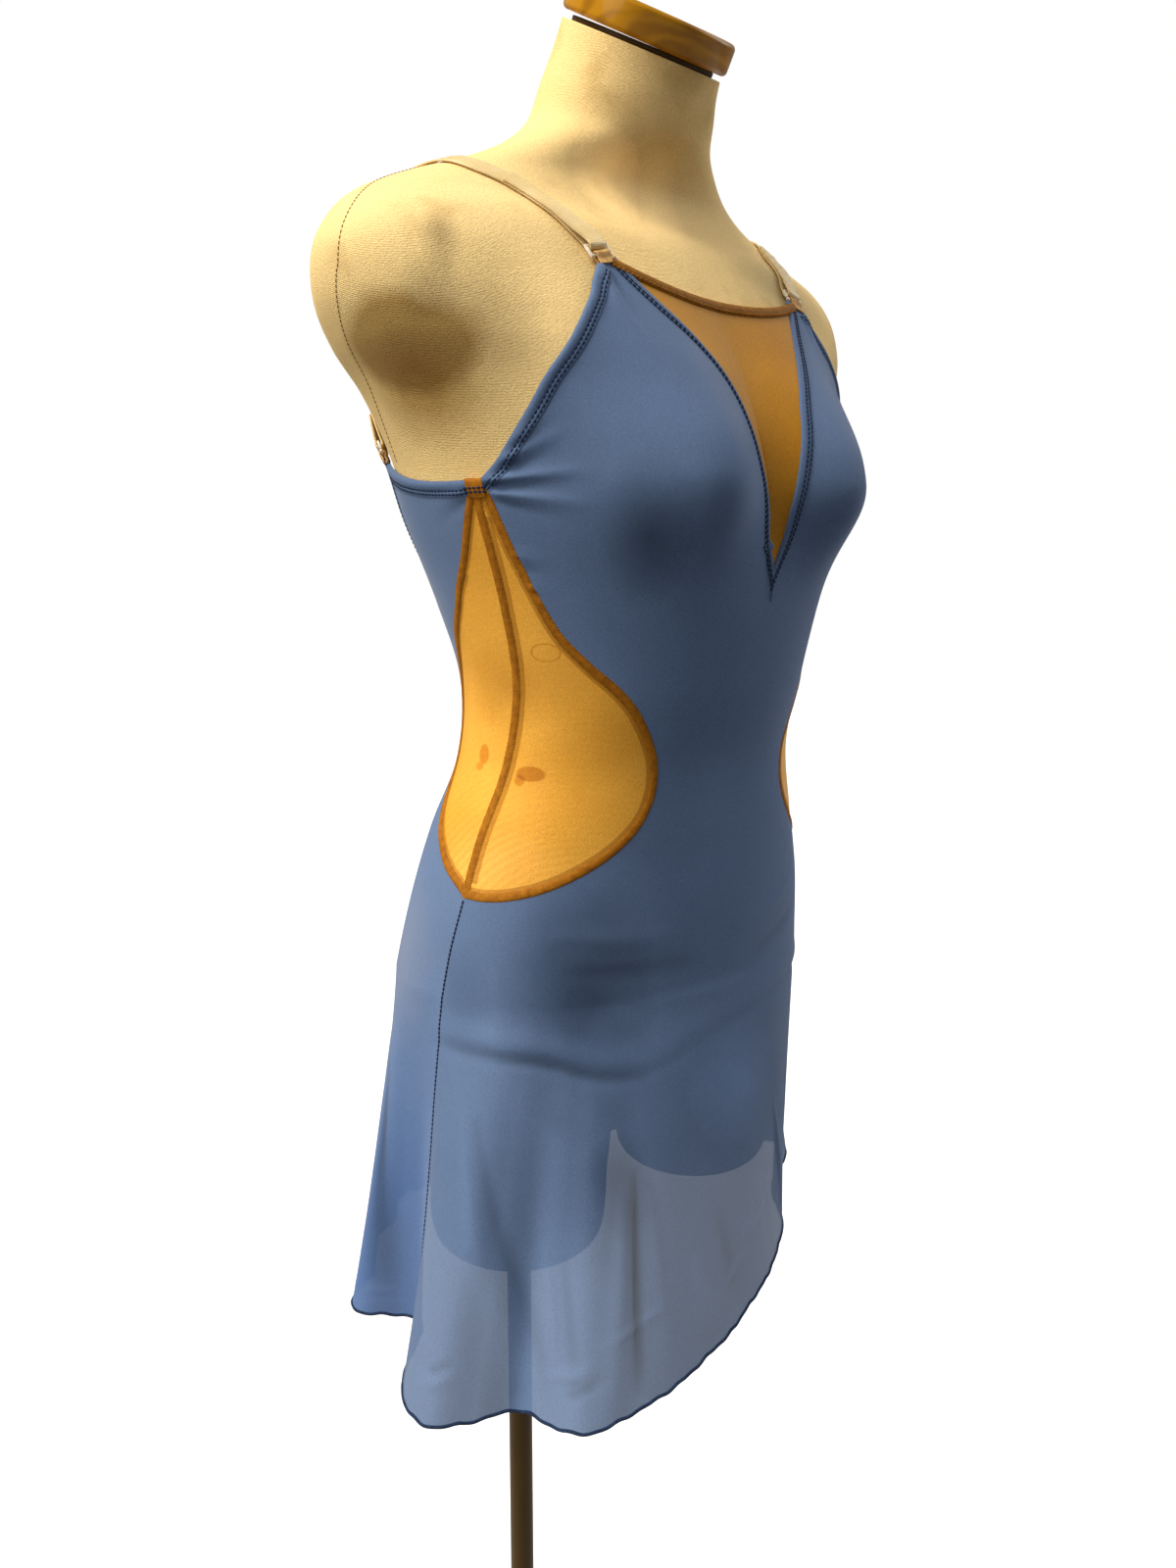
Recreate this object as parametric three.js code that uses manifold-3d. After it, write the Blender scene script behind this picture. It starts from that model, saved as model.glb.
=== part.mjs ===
// A lyrical dance dress on a limbless dress form, at real size.
// Millimetres, +Z up, the wearer's front towards -Y, origin under the middle of the stand's base.
// A place on the figure is given by its turn (degrees from centre front, plus to the wearer's left),
// its height above the waist, and its lift off the figure's surface.
import * as THREE from 'three';
import { mergeVertices } from 'three/addons/utils/BufferGeometryUtils.js';
import Module from 'manifold-3d';

const wasm = await Module();
wasm.setup();

const waistHeight = 1020;
const seamGap = 0.3;

const panelLift = { inner: 2.2, outer: 3.4 };
const meshLift = { inner: 2.3, outer: 3.3 };
const meshColumns = { front: 6, back: 4 };
const briefLift = { inner: 1.4, outer: 2.4 };
const bindingLift = { inner: 1.7, outer: 3.9 };

const skirt = { hip: -140, nominalHem: -360, extraLift: 2.6, flareStart: -77, flarePower: 1.2 };
const strap = {
  width: 13, thickness: 1, mainLift: 1.3, foldedLift: 2.65, foldFront: 62, foldBack: 22,
  ramp: 20, knee: 8, kneeShare: 0.6, rampSteps: 4, runSteps: 24,
};
const loop = { width: 11, thickness: 0.8, foot: 1.3, footLift: 0.6 };
const hook = {
  lift: 3.3, thickness: 1.6, low: 3.1, high: 11.3, bar: 1.8, width: 17.4, slit: 0.8, straight: 13,
};
const cap = { radius: 52.5, thickness: 17.5, rounding: 3, gap: 3.4 };
const neckPlate = { radius: 45, rounding: 0.5 };
const pole = { radius: 8, x: -86, y: 10 };
const flange = { radius: 21, thickness: 5, rounding: 1 };
const socket = { radius: 17, height: 42, floor: 6, taper: 3 };
const base = { radius: 180, thickness: 8, bevel: 2 };
const grid = { figureRows: 35, figureColumns: 40, thighColumns: 18, panelColumns: 12, neckColumns: 10 };
const roundSides = { small: 24, cap: 36, base: 48 };

const table = (columns, rows) => {
  const names = columns.split(' ');
  return rows.map((row) => Object.fromEntries(names.map((name, i) => [name, row[i]])));
};

// The figure from the seat up to the top of the neck: half width, reach to the front and to the back
// of the middle line, the middle's place in Y, the roundness power and the forward tilt in degrees.
const figureRows = table('height half front back middle power tilt', [
  [-257, 92, 18, 26, 14, 2.2, 0],
  [-252, 124, 44, 58, 13, 2.2, 0],
  [-240, 140, 66, 84, 12, 2.2, 0],
  [-220, 149, 81, 102, 11, 2.2, 0],
  [-192, 152, 89, 111, 11, 2.2, 0],
  [-144, 150, 96, 109, 10, 2.2, 0],
  [-96, 146, 98, 99, 7, 2.2, 0],
  [-48, 134, 95, 87, 4, 2.2, 0],
  [0, 118, 91, 77, -3, 2.2, 0],
  [48, 117, 98, 82, -8, 2.2, 0],
  [96, 129, 106, 97, -7, 2.2, 0],
  [144, 145, 109, 110, -3, 2.2, 0],
  [180, 156, 105, 116, -1, 2.2, 0],
  [215, 172, 98, 116, 3, 2.3, 0],
  [240, 189, 93, 110, 8, 2.5, 0],
  [262, 200, 88, 99, 12, 2.6, 0],
  [285, 203, 80, 84, 15, 2.6, 0],
  [303, 195, 72, 74, 18, 2.5, 0],
  [318, 178, 62, 66, 23, 2.4, 0],
  [330, 153, 55, 59, 24, 2.3, 0],
  [340, 127, 51, 54, 22, 2.2, 0],
  [350, 102, 50, 51, 17, 2.1, 1],
  [362, 79, 50, 50, 10, 2.1, 4],
  [376, 63, 51, 51, 3, 2.0, 9],
  [395, 57, 51, 51, -4, 2.0, 16],
  [409.5, 53, 50, 50, -10, 2.0, 23],
  [422.5, 51, 50, 50, -15.5, 2.0, 28.5],
]);
const bust = { reach: 36.5, x: 68, height: 166, spreadX: 49, spreadUp: 71, spreadDown: 42 };

// One thigh end below the seat.
const thighRows = table('height x y half depth', [
  [-326, 88, 8, 34, 34],
  [-323, 88, 8, 47, 47],
  [-315, 88, 8, 55, 55],
  [-300, 88, 8, 58, 58],
  [-275, 87, 8, 58, 59],
  [-250, 86, 9, 60, 62],
  [-225, 84, 10, 59, 62],
  [-205, 82, 11, 54, 58],
]);

// The hem seen from above: turn about the upright axis, distance from it, height above the waist.
const hemRows = table('angle reach height', [
  [-180, 170, -362], [-168, 163, -362], [-156, 178, -362], [-144, 168, -362], [-132, 182, -362],
  [-122, 173, -362], [-112, 192, -361], [-107, 190, -361], [-102, 170, -360], [-97, 163, -360],
  [-92, 174, -360], [-86, 200, -361], [-80, 219, -361], [-74, 226, -360], [-69, 213, -359],
  [-63, 197, -357], [-57, 205, -356], [-51, 212, -354], [-43, 196, -351], [-34, 177, -348],
  [-26, 160, -346], [-19, 149, -345], [-12, 139, -343], [-5, 132, -341], [3, 126, -340],
  [13, 120, -340], [26, 116, -341], [40, 117, -344], [52, 120, -349], [62, 125, -353],
  [71, 133, -357], [79, 149, -360], [85, 176, -361], [90, 201, -362], [95, 206, -362],
  [101, 190, -362], [106, 180, -362], [112, 186, -362], [120, 175, -362], [132, 187, -362],
  [144, 170, -362], [156, 181, -362], [168, 166, -362],
]);

// Half of the front from the hem to the strap: the outer edge (side seam, side opening, armhole) and
// the inner edge (centre front, then the V opening's middle and half width in degrees).
const frontRows = table('turn height innerHeight middle opening', [
  [84.5, -360, -360, 2, 0], [84.8, -325, -325, 2, 0], [85.2, -290, -290, 2, 0],
  [85.6, -250, -250, 2, 0], [86, -210, -210, 2, 0], [85.6, -175, -175, 2, 0],
  [85, -140, -140, 2, 0], [84, -112, -118, 2, 0], [82.8, -92, -103, 2, 0],
  [82, -78, -90, 2, 0], [73.7, -78.4, -80, 2, 0], [62.9, -75.3, -71, 2, 0],
  [51.3, -68, -61, 2, 0], [38.6, -54, -49, 2, 0], [30.2, -37, -35, 2, 0],
  [26.8, -18, -18, 2, 0], [27.7, 2, 0, 2, 0], [31.4, 18, 17, 2, 0],
  [38, 36.5, 34, 2, 0], [45, 50, 48, 2, 0], [53.1, 63, 62, 2, 0],
  [61.2, 80, 78, 2, 0], [66.4, 102, 95, 2, 0], [69.8, 124, 109, 2, 0],
  [71.6, 143, 131, 2.3, 2.6], [73, 157, 148, 2.3, 3.6], [74.7, 163, 160, 2.3, 4.5],
  [68.7, 172, 176, 2.4, 5.8], [62.6, 184, 191, 2.7, 6.7], [54.1, 200.6, 206, 2.8, 7.6],
  [46.5, 216, 221, 2.6, 9], [34.7, 236, 240, 1.7, 11], [26.4, 255, 257, 0.5, 13.6],
  [23.2, 266, 273.3, 0, 16.5], [20.9, 275, 279.6, 0, 17.6],
]);
const sideRow = 9;
const tipRow = 23;
const underarmRow = 26;

// Half of the back from the insert's foot to the strap: its outer edge and its inner edge, which is
// centre back and then the scooped neckline.
const backRows = table('turn height innerTurn innerHeight', [
  [82, -78, 180, -90], [90.4, -67, 180, -72], [98.5, -54, 180, -55], [108.3, -36, 180, -37],
  [115.5, -17, 180, -18], [118.8, 5, 180, 3], [118.3, 30, 180, 24], [114.8, 52, 180, 42],
  [108, 73, 180, 58], [103.6, 83.5, 171, 59.5], [98.6, 94, 162, 64], [94.5, 105.5, 154.5, 72.5],
  [90.3, 117, 148, 83], [84.9, 137, 137, 108],
  [80.4, 155, 128, 143], [79, 163, 122, 179],
]);
const backTopSag = 5;

const sideSeam = { foot: 82, footHeight: -78, top: 77, topHeight: 163, clear: 3, share: 0.25 };
const neckline = { turn: 17.6, height: 279.6, lowTurn: 16.5, sag: 12, tall: 6, endGap: 0.15 };
const meshTip = { innerHeight: 113.5, middle: 2.05, opening: 0.53 };
const neckSags = [0, 0.2, 0.4, 0.8, 1.5, 2.6, 4.2, 6.4, 9, 12];

// The brief's leg line, from centre front round to centre back.
const legLine = table('turn height', [
  [0, -238], [7, -222], [15, -203], [24, -189], [34, -179], [48, -172], [66, -167], [88, -166],
  [108, -174], [128, -192], [148, -214], [164, -230], [180, -238],
]);
const brief = { top: -116, side: 87, rows: 9, columns: 20 };
const gusset = {
  width: 34, sideHeights: [-243, -248, -253], underPlaces: [-4, 14, 34], under: -257, lift: 1.9,
};

// The strap's way over the shoulder, from the front strap point to the back one.
const strapRoute = table('turn height', [
  [19.2, 277.5], [20.2, 288], [22.5, 295.5], [27.3, 307], [35.4, 319.7], [48, 328.3], [71, 336.5],
  [95, 338.5], [115, 334], [128, 326], [138, 314.5], [143, 302], [146, 282], [146, 262], [141, 240],
  [133.5, 215], [127, 195], [122, 179.4],
]);

const colours = {
  blue: 0x5c7fb4, lining: 0x4a6da3, nude: 0xc98f42, binding: 0x7f4a0b, satin: 0xe7c48a,
  clear: 0xf4ecd8, linen: 0xe6cfa0, amber: 0x8a5212, brown: 0x3e2c13, iron: 0x2f2b27,
};

const radians = THREE.MathUtils.degToRad;
const degrees = THREE.MathUtils.radToDeg;
const lerp = THREE.MathUtils.lerp;
const clamp = THREE.MathUtils.clamp;

// Smooth reading between a table's rows, at a place counted in rows.
function between(rows, place, column, round = false) {
  const last = rows.length - 1;
  const step = Math.floor(clamp(place, 0, round ? last : last - 1e-9));
  const t = place - step;
  const at = (k) => rows[round ? (k + rows.length) % rows.length : clamp(k, 0, last)][column];
  const [a, b, c, d] = [at(step - 1), at(step), at(step + 1), at(step + 2)];
  const bend = 2 * a - 5 * b + 4 * c - d;
  const twist = 3 * b - a - 3 * c + d;
  return 0.5 * (2 * b + (c - a) * t + bend * t * t + twist * t * t * t);
}

// The place in a table's rows where a rising column reaches a value.
function placeOf(rows, value, column) {
  let low = 0;
  let high = rows.length - 1;
  for (let i = 0; i < 40; i += 1) {
    const middle = (low + high) / 2;
    if (between(rows, middle, column) < value) low = middle;
    else high = middle;
  }
  return (low + high) / 2;
}

const knownLevels = new Map();
function level(height) {
  if (!knownLevels.has(height)) knownLevels.set(height, placeOf(figureRows, height, 'height'));
  return knownLevels.get(height);
}

function figurePoint(turn, height) {
  const place = level(clamp(height, figureRows[0].height, figureRows.at(-1).height));
  const row = (column) => between(figureRows, place, column);
  const [sine, cosine] = [Math.sin(radians(turn)), Math.cos(radians(turn))];
  const round = 2 / row('power');
  const x = row('half') * Math.sign(sine) * Math.abs(sine) ** round;
  const reach = cosine > 0 ? row('front') : row('back');
  let y = -reach * Math.sign(cosine) * Math.abs(cosine) ** round;
  const spread = height > bust.height ? bust.spreadUp : bust.spreadDown;
  const away = ((Math.abs(x) - bust.x) / bust.spreadX) ** 2 + ((height - bust.height) / spread) ** 2;
  y -= bust.reach * Math.exp(-away) * Math.sqrt(clamp(cosine, 0, 1));
  const tilt = radians(row('tilt'));
  return new THREE.Vector3(x, row('middle') + y * Math.cos(tilt), waistHeight + height + y * Math.sin(tilt));
}

function figureNormal(turn, height) {
  const across = figurePoint(turn + 0.1, height).sub(figurePoint(turn - 0.1, height));
  const up = figurePoint(turn, height + 0.3).sub(figurePoint(turn, height - 0.3));
  return across.cross(up).normalize();
}

function onFigure(turn, height, lift) {
  return figurePoint(turn, height).addScaledVector(figureNormal(turn, height), lift);
}

// The cloth lies on the figure down to the hip, and hangs from there to the hem.
function onCloth(turn, height, lift) {
  const eased = clamp((skirt.flareStart - height) / (skirt.flareStart - skirt.hip), 0, 1);
  const proud = lift + skirt.extraLift * eased * eased;
  if (height >= skirt.hip) return onFigure(turn, height, proud);
  const point = onFigure(turn, skirt.hip, proud);
  const drop = (skirt.hip - height) / (skirt.hip - skirt.nominalHem);
  const angle = degrees(Math.atan2(point.x, -point.y));
  const place = angularPlace(angle);
  const reach = between(hemRows, place, 'reach', true) + lift - panelLift.outer;
  const hem = waistHeight + between(hemRows, place, 'height', true);
  const here = Math.hypot(point.x, point.y);
  const out = lerp(here, reach, drop ** skirt.flarePower) / here;
  return new THREE.Vector3(point.x * out, point.y * out, lerp(point.z, hem, drop));
}

function angularPlace(angle) {
  const next = hemRows.findIndex((row) => row.angle > angle);
  const to = next < 0 ? 180 : hemRows[next].angle;
  const from = hemRows.at(next < 0 ? -1 : next - 1).angle;
  const step = next < 0 ? hemRows.length - 1 : next - 1;
  return step + (angle - from) / (to - from);
}

// Moves an upward edge sideways by a distance, plus towards the larger turn.
function inset(edge, distance) {
  return edge.map((point, i) => {
    const [before, after] = [edge[Math.max(i - 1, 0)], edge[Math.min(i + 1, edge.length - 1)]];
    const perDegree = figurePoint(point[0] + 0.5, point[1]).distanceTo(figurePoint(point[0] - 0.5, point[1]));
    const along = (after[0] - before[0]) * perDegree;
    const rise = after[1] - before[1];
    const length = Math.hypot(along, rise);
    return [point[0] + (distance * rise) / length / perDegree, point[1] - (distance * along) / length];
  });
}

const mirrored = (edge, side) => edge.map(([turn, height]) => [turn * side, height]);

// Cells of a grid stretched between two edges with the same number of points.
function ruled(edgeA, edgeB, columns, sags = []) {
  const sum = (edge) => edge.reduce((total, point) => total + point[0], 0);
  const [left, right] = sum(edgeA) < sum(edgeB) ? [edgeA, edgeB] : [edgeB, edgeA];
  const spot = (k, j) => {
    const t = j / columns;
    const sag = (sags[k] ?? 0) * 4 * t * (1 - t);
    return [lerp(left[k][0], right[k][0], t), lerp(left[k][1], right[k][1], t) - sag];
  };
  const cells = [];
  for (let k = 0; k + 1 < left.length; k += 1) {
    for (let j = 0; j < columns; j += 1) {
      cells.push([spot(k, j), spot(k, j + 1), spot(k + 1, j + 1), spot(k + 1, j)]);
    }
  }
  return cells;
}

function geometryOf(points, faces) {
  const geometry = new THREE.BufferGeometry();
  geometry.setAttribute('position', new THREE.Float32BufferAttribute(points.flatMap((p) => p.toArray()), 3));
  geometry.setIndex(faces.flat());
  geometry.computeVertexNormals();
  return geometry;
}

// A closed wall over the cells: an outer and an inner skin, joined along every open edge. Each cell
// is split along its shorter diagonal.
function wall(cells, lift, place = onCloth) {
  const spots = new Map();
  const outer = [];
  const inner = [];
  const cornerOf = ([turn, height]) => {
    const point = place(turn, height, lift.outer);
    const key = point.toArray().map((value) => Math.round(value * 200)).join();
    if (!spots.has(key)) {
      spots.set(key, outer.length);
      outer.push(point);
      inner.push(place(turn, height, lift.inner));
    }
    return spots.get(key);
  };
  const faces = [];
  for (const cell of cells) {
    const [a, b, c, d] = cell.map(cornerOf);
    const leaning = outer[a].distanceTo(outer[c]) > outer[b].distanceTo(outer[d]);
    for (const face of leaning ? [[a, b, d], [b, c, d]] : [[a, b, c], [a, c, d]]) {
      if (new Set(face).size === 3) faces.push(face);
    }
  }
  const sides = (face) => [[face[0], face[1]], [face[1], face[2]], [face[2], face[0]]];
  const known = new Set(faces.flatMap(sides).map((side) => side.join()));
  const rims = faces.flatMap(sides).filter(([a, b]) => !known.has(`${b},${a}`));
  const n = outer.length;
  const all = [...faces];
  all.push(...faces.map(([a, b, c]) => [a + n, c + n, b + n]));
  all.push(...rims.flatMap(([a, b]) => [[b, a, a + n], [b, a + n, b + n]]));
  return geometryOf([...outer, ...inner], all);
}

// A closed loft through rings of equal length, capped by a fan at each end.
function loft(rings) {
  const count = rings[0].length;
  const points = rings.flat();
  const middle = (ring) => ring.reduce((sum, p) => sum.add(p), new THREE.Vector3()).divideScalar(count);
  const [low, high] = [points.length, points.length + 1];
  points.push(middle(rings[0]), middle(rings.at(-1)));
  const faces = [];
  for (let j = 0; j < count; j += 1) {
    const next = (j + 1) % count;
    for (let k = 0; k + 1 < rings.length; k += 1) {
      const [a, b] = [k * count + j, k * count + next];
      faces.push([a, b, b + count], [a, b + count, a + count]);
    }
    const top = (rings.length - 1) * count;
    faces.push([low, next, j], [high, top + j, top + next]);
  }
  return geometryOf(points, faces);
}

function solidOf(geometry) {
  const plain = geometry.clone();
  plain.deleteAttribute('normal');
  plain.deleteAttribute('uv');
  const merged = mergeVertices(plain, 1e-4);
  const mesh = new wasm.Mesh({
    numProp: 3,
    vertProperties: new Float32Array(merged.attributes.position.array),
    triVerts: new Uint32Array(merged.index.array),
  });
  return new wasm.Manifold(mesh);
}

function geometryFrom(solid) {
  const mesh = solid.getMesh();
  const geometry = new THREE.BufferGeometry();
  geometry.setAttribute('position', new THREE.BufferAttribute(mesh.vertProperties, 3));
  geometry.setIndex(new THREE.BufferAttribute(mesh.triVerts, 1));
  geometry.computeVertexNormals();
  return geometry;
}

// The strap route by distance along it, with the direction across, along and away from the figure.
// It runs straight where the hooks are.
const routeSteps = 240;
const routeSpots = Array.from({ length: routeSteps + 1 }, (_, i) => {
  const place = (i / routeSteps) * (strapRoute.length - 1);
  return [between(strapRoute, place, 'turn'), between(strapRoute, place, 'height')];
});
const routePoints = routeSpots.map(([turn, height]) => figurePoint(turn, height));
const routeDistances = routePoints.reduce((sums, point, i) => {
  sums.push(i ? sums[i - 1] + point.distanceTo(routePoints[i - 1]) : 0);
  return sums;
}, []);
const routeLength = routeDistances.at(-1);

function routeFrame(distance) {
  const [first, last] = [hook.straight, routeLength - hook.straight];
  if (distance >= first && distance <= last) return frameAt(distance);
  const middle = distance < first ? first / 2 : routeLength - first / 2;
  const frame = frameAt(middle);
  frame.origin.addScaledVector(frame.along, distance - middle);
  return frame;
}

function frameAt(distance) {
  const index = clamp(routeDistances.findIndex((d) => d > distance), 1, routeSteps);
  const t = (distance - routeDistances[index - 1]) / (routeDistances[index] - routeDistances[index - 1]);
  const spot = [0, 1].map((k) => lerp(routeSpots[index - 1][k], routeSpots[index][k], t));
  const origin = routePoints[index - 1].clone().lerp(routePoints[index], t);
  const [from, to] = [routePoints[Math.max(index - 4, 0)], routePoints[Math.min(index + 3, routeSteps)]];
  const away = figureNormal(...spot);
  const along = to.clone().sub(from).normalize();
  along.addScaledVector(away, -along.dot(away)).normalize();
  const across = along.clone().cross(away).normalize();
  return { origin, along, away, across };
}

// A flat band whose middle line is drawn beside the route as distance and lift.
function band(path, width, thickness) {
  const rings = path.map(([distance, lift], i) => {
    const [before, after] = [path[Math.max(i - 1, 0)], path[Math.min(i + 1, path.length - 1)]];
    const { origin, along, away, across } = routeFrame(distance);
    const step = new THREE.Vector2(after[0] - before[0], after[1] - before[1]).normalize();
    const up = along.clone().multiplyScalar(-step.y).addScaledVector(away, step.x);
    const middle = origin.clone().addScaledVector(away, lift);
    const corner = (a, b) => middle.clone().addScaledVector(across, (a * width) / 2)
      .addScaledVector(up, (b * thickness) / 2);
    return [corner(-1, -1), corner(-1, 1), corner(1, 1), corner(1, -1)];
  });
  return loft(rings);
}

const barReach = Math.hypot(hook.bar, hook.thickness) / 2 + seamGap;

// A half turn round a bar, from below it to above it; plus bulges towards a larger distance.
function halfTurn(distance, radius, bulge, steps = 6) {
  return Array.from({ length: steps + 1 }, (_, i) => {
    const angle = Math.PI * (i / steps - 0.5);
    return [distance + bulge * radius * Math.cos(angle), hook.lift + radius * Math.sin(angle)];
  });
}

function steps(from, to, count, lift) {
  return Array.from({ length: count + 1 }, (_, i) => [lerp(from, to, i / count), lift]);
}

function strapPath() {
  const around = barReach + strap.thickness / 2;
  const frontBar = hook.high - hook.bar / 2;
  const backBar = routeLength - frontBar;
  const kneeOver = lerp(strap.foldedLift, hook.lift + around, strap.kneeShare);
  const kneeUnder = lerp(strap.mainLift, hook.lift - around, strap.kneeShare);
  return [
    ...steps(frontBar + strap.foldFront, frontBar + strap.ramp, strap.rampSteps, strap.foldedLift),
    [frontBar + strap.knee, kneeOver],
    ...halfTurn(frontBar, around, -1).reverse(),
    [frontBar + strap.knee, kneeUnder],
    ...steps(frontBar + strap.ramp, backBar - strap.ramp, strap.runSteps, strap.mainLift),
    [backBar - strap.knee, kneeUnder],
    ...halfTurn(backBar, around, 1),
    [backBar - strap.knee, kneeOver],
    [backBar - strap.foldBack, strap.foldedLift],
  ];
}

function loopPath(end) {
  const around = barReach + loop.thickness / 2;
  const bar = hook.low + hook.bar / 2;
  const foot = [-1, 1].map((sign) => [loop.foot, hook.lift + sign * loop.footLift]);
  const path = [foot[0], ...halfTurn(bar, around, 1), foot[1]];
  return end === 'front' ? path : path.map(([distance, lift]) => [routeLength - distance, lift]).reverse();
}

// A flat plastic ring with a slit beside one bar, so that the loop can be slipped off it.
function hookGeometry(end) {
  const [half, hole] = [hook.width / 2, hook.width / 2 - hook.bar];
  const [low, high] = [hook.low, hook.high];
  const outline = [
    [-half, low], [half, low], [half, high], [-half, high], [-half, low + hook.bar + hook.slit],
    [-hole, low + hook.bar + hook.slit], [-hole, high - hook.bar], [hole, high - hook.bar],
    [hole, low + hook.bar], [-half, low + hook.bar],
  ];
  const shape = new THREE.Shape(outline.map(([x, y]) => new THREE.Vector2(x, y)));
  const geometry = new THREE.ExtrudeGeometry(shape, { depth: hook.thickness, bevelEnabled: false });
  geometry.translate(0, -(low + high) / 2, -hook.thickness / 2);
  const middle = (low + high) / 2;
  const frame = routeFrame(end === 'front' ? middle : routeLength - middle);
  const along = frame.along.clone().multiplyScalar(end === 'front' ? 1 : -1);
  const across = along.clone().cross(frame.away);
  const basis = new THREE.Matrix4().makeBasis(across, along, frame.away);
  basis.setPosition(frame.origin.addScaledVector(frame.away, hook.lift));
  return geometry.applyMatrix4(basis);
}

// The same geometry on the wearer's other side.
function otherSide(geometry) {
  const copy = mergeVertices(geometry.clone().deleteAttribute('normal').deleteAttribute('uv'), 1e-5);
  const places = copy.attributes.position;
  for (let i = 0; i < places.count; i += 1) places.setX(i, -places.getX(i));
  const index = Array.from(copy.index.array);
  for (let i = 0; i < index.length; i += 3) [index[i + 1], index[i + 2]] = [index[i + 2], index[i + 1]];
  copy.setIndex(index);
  copy.computeVertexNormals();
  return copy;
}

const edgeOf = (rows, turn = 'turn', height = 'height') => rows.map((row) => [row[turn], row[height]]);

function frontPanel() {
  const edge = inset(edgeOf(frontRows), -seamGap / 2);
  return [-1, 1].flatMap((side) => {
    const opening = frontRows.map((row) => [row.opening + side * row.middle, row.innerHeight]);
    const moved = inset(opening, seamGap / 2);
    const inner = opening.map((point, k) => (k > tipRow ? moved[k] : point));
    return ruled(mirrored(inner, side), mirrored(edge, side), grid.panelColumns);
  });
}

function backPanel() {
  const seam = edgeOf(frontRows.slice(0, sideRow));
  const outer = inset([...seam, ...edgeOf(backRows)], seamGap / 2);
  const centre = seam.map(([, height]) => [180, height]);
  const inner = [...centre, ...edgeOf(backRows, 'innerTurn', 'innerHeight')];
  const sags = outer.map((_, k) => (k === outer.length - 1 ? backTopSag : 0));
  return [-1, 1].flatMap((side) => ruled(mirrored(outer, side), mirrored(inner, side), grid.panelColumns, sags));
}

function seamTurn(height) {
  const share = (height - sideSeam.footHeight) / (sideSeam.topHeight - sideSeam.footHeight);
  return lerp(sideSeam.foot, sideSeam.top, share);
}

function sideMesh(edge, side, distance, columns) {
  const open = inset(edge, distance);
  const first = [0, 1].map((k) => lerp(open[0][k], open[1][k], sideSeam.share));
  const outer = [first, ...open.slice(1)];
  const foot = sideSeam.footHeight + sideSeam.clear;
  const heights = outer.map((_, k) => lerp(foot, sideSeam.topHeight, k / (outer.length - 1)));
  const seam = inset(heights.map((height) => [seamTurn(height), height]), -distance);
  return ruled(mirrored(outer, side), mirrored(seam, side), columns);
}

const openingRows = frontRows.slice(sideRow, underarmRow + 1);
const sideMeshFront = (side) => sideMesh(edgeOf(openingRows), side, seamGap / 2, meshColumns.front);
const sideMeshBack = (side) => sideMesh(edgeOf(backRows), side, -seamGap / 2, meshColumns.back);

function neckMesh() {
  const all = [meshTip, ...frontRows.slice(tipRow + 1, -1)];
  const edges = [-1, 1].map((side) => {
    const edge = inset(all.map((row) => [row.opening + side * row.middle, row.innerHeight]), -seamGap / 2);
    return mirrored(edge, side);
  });
  return ruled(edges[0], edges[1], grid.neckColumns, [0, ...neckSags]);
}

function neckBinding() {
  const ends = [
    [neckline.lowTurn - neckline.endGap, neckline.height - neckline.tall],
    [neckline.turn - neckline.endGap, neckline.height],
  ];
  return ruled(mirrored(ends, -1), ends, grid.neckColumns, ends.map(() => neckline.sag));
}

function legHeight(turn) {
  const size = Math.abs(turn);
  return between(legLine, placeOf(legLine, size, 'turn'), 'height');
}

function briefPanel(from, to) {
  const cells = [];
  const spot = (j, k) => {
    const turn = lerp(from, to, j / brief.columns);
    const around = Math.abs(turn > 180 ? 360 - turn : turn);
    return [turn, lerp(legHeight(around), brief.top, k / brief.rows)];
  };
  for (let j = 0; j < brief.columns; j += 1) {
    for (let k = 0; k < brief.rows; k += 1) {
      cells.push([spot(j, k), spot(j + 1, k), spot(j + 1, k + 1), spot(j, k + 1)]);
    }
  }
  return cells;
}

// The strip that runs under the seat from the front of the brief to its back.
function gussetGeometry() {
  const side = (turn, heights) => heights.map((height) => onFigure(turn, height, gusset.lift));
  const underHeight = waistHeight + gusset.under - gusset.lift;
  const under = gusset.underPlaces.map((y) => new THREE.Vector3(0, y, underHeight));
  const points = [
    ...side(0, gusset.sideHeights),
    ...under,
    ...side(180, gusset.sideHeights.toReversed()),
  ];
  const half = (briefLift.outer - briefLift.inner) / 2;
  const rings = points.map((point, i) => {
    const along = points[Math.min(i + 1, points.length - 1)].clone().sub(points[Math.max(i - 1, 0)]).normalize();
    const out = new THREE.Vector3(0, along.z, -along.y);
    const corner = (x, lift) => point.clone().addScaledVector(out, lift * half).setX((x * gusset.width) / 2);
    return [corner(-1, -1), corner(-1, 1), corner(1, 1), corner(1, -1)];
  });
  return loft(rings.reverse());
}

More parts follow.
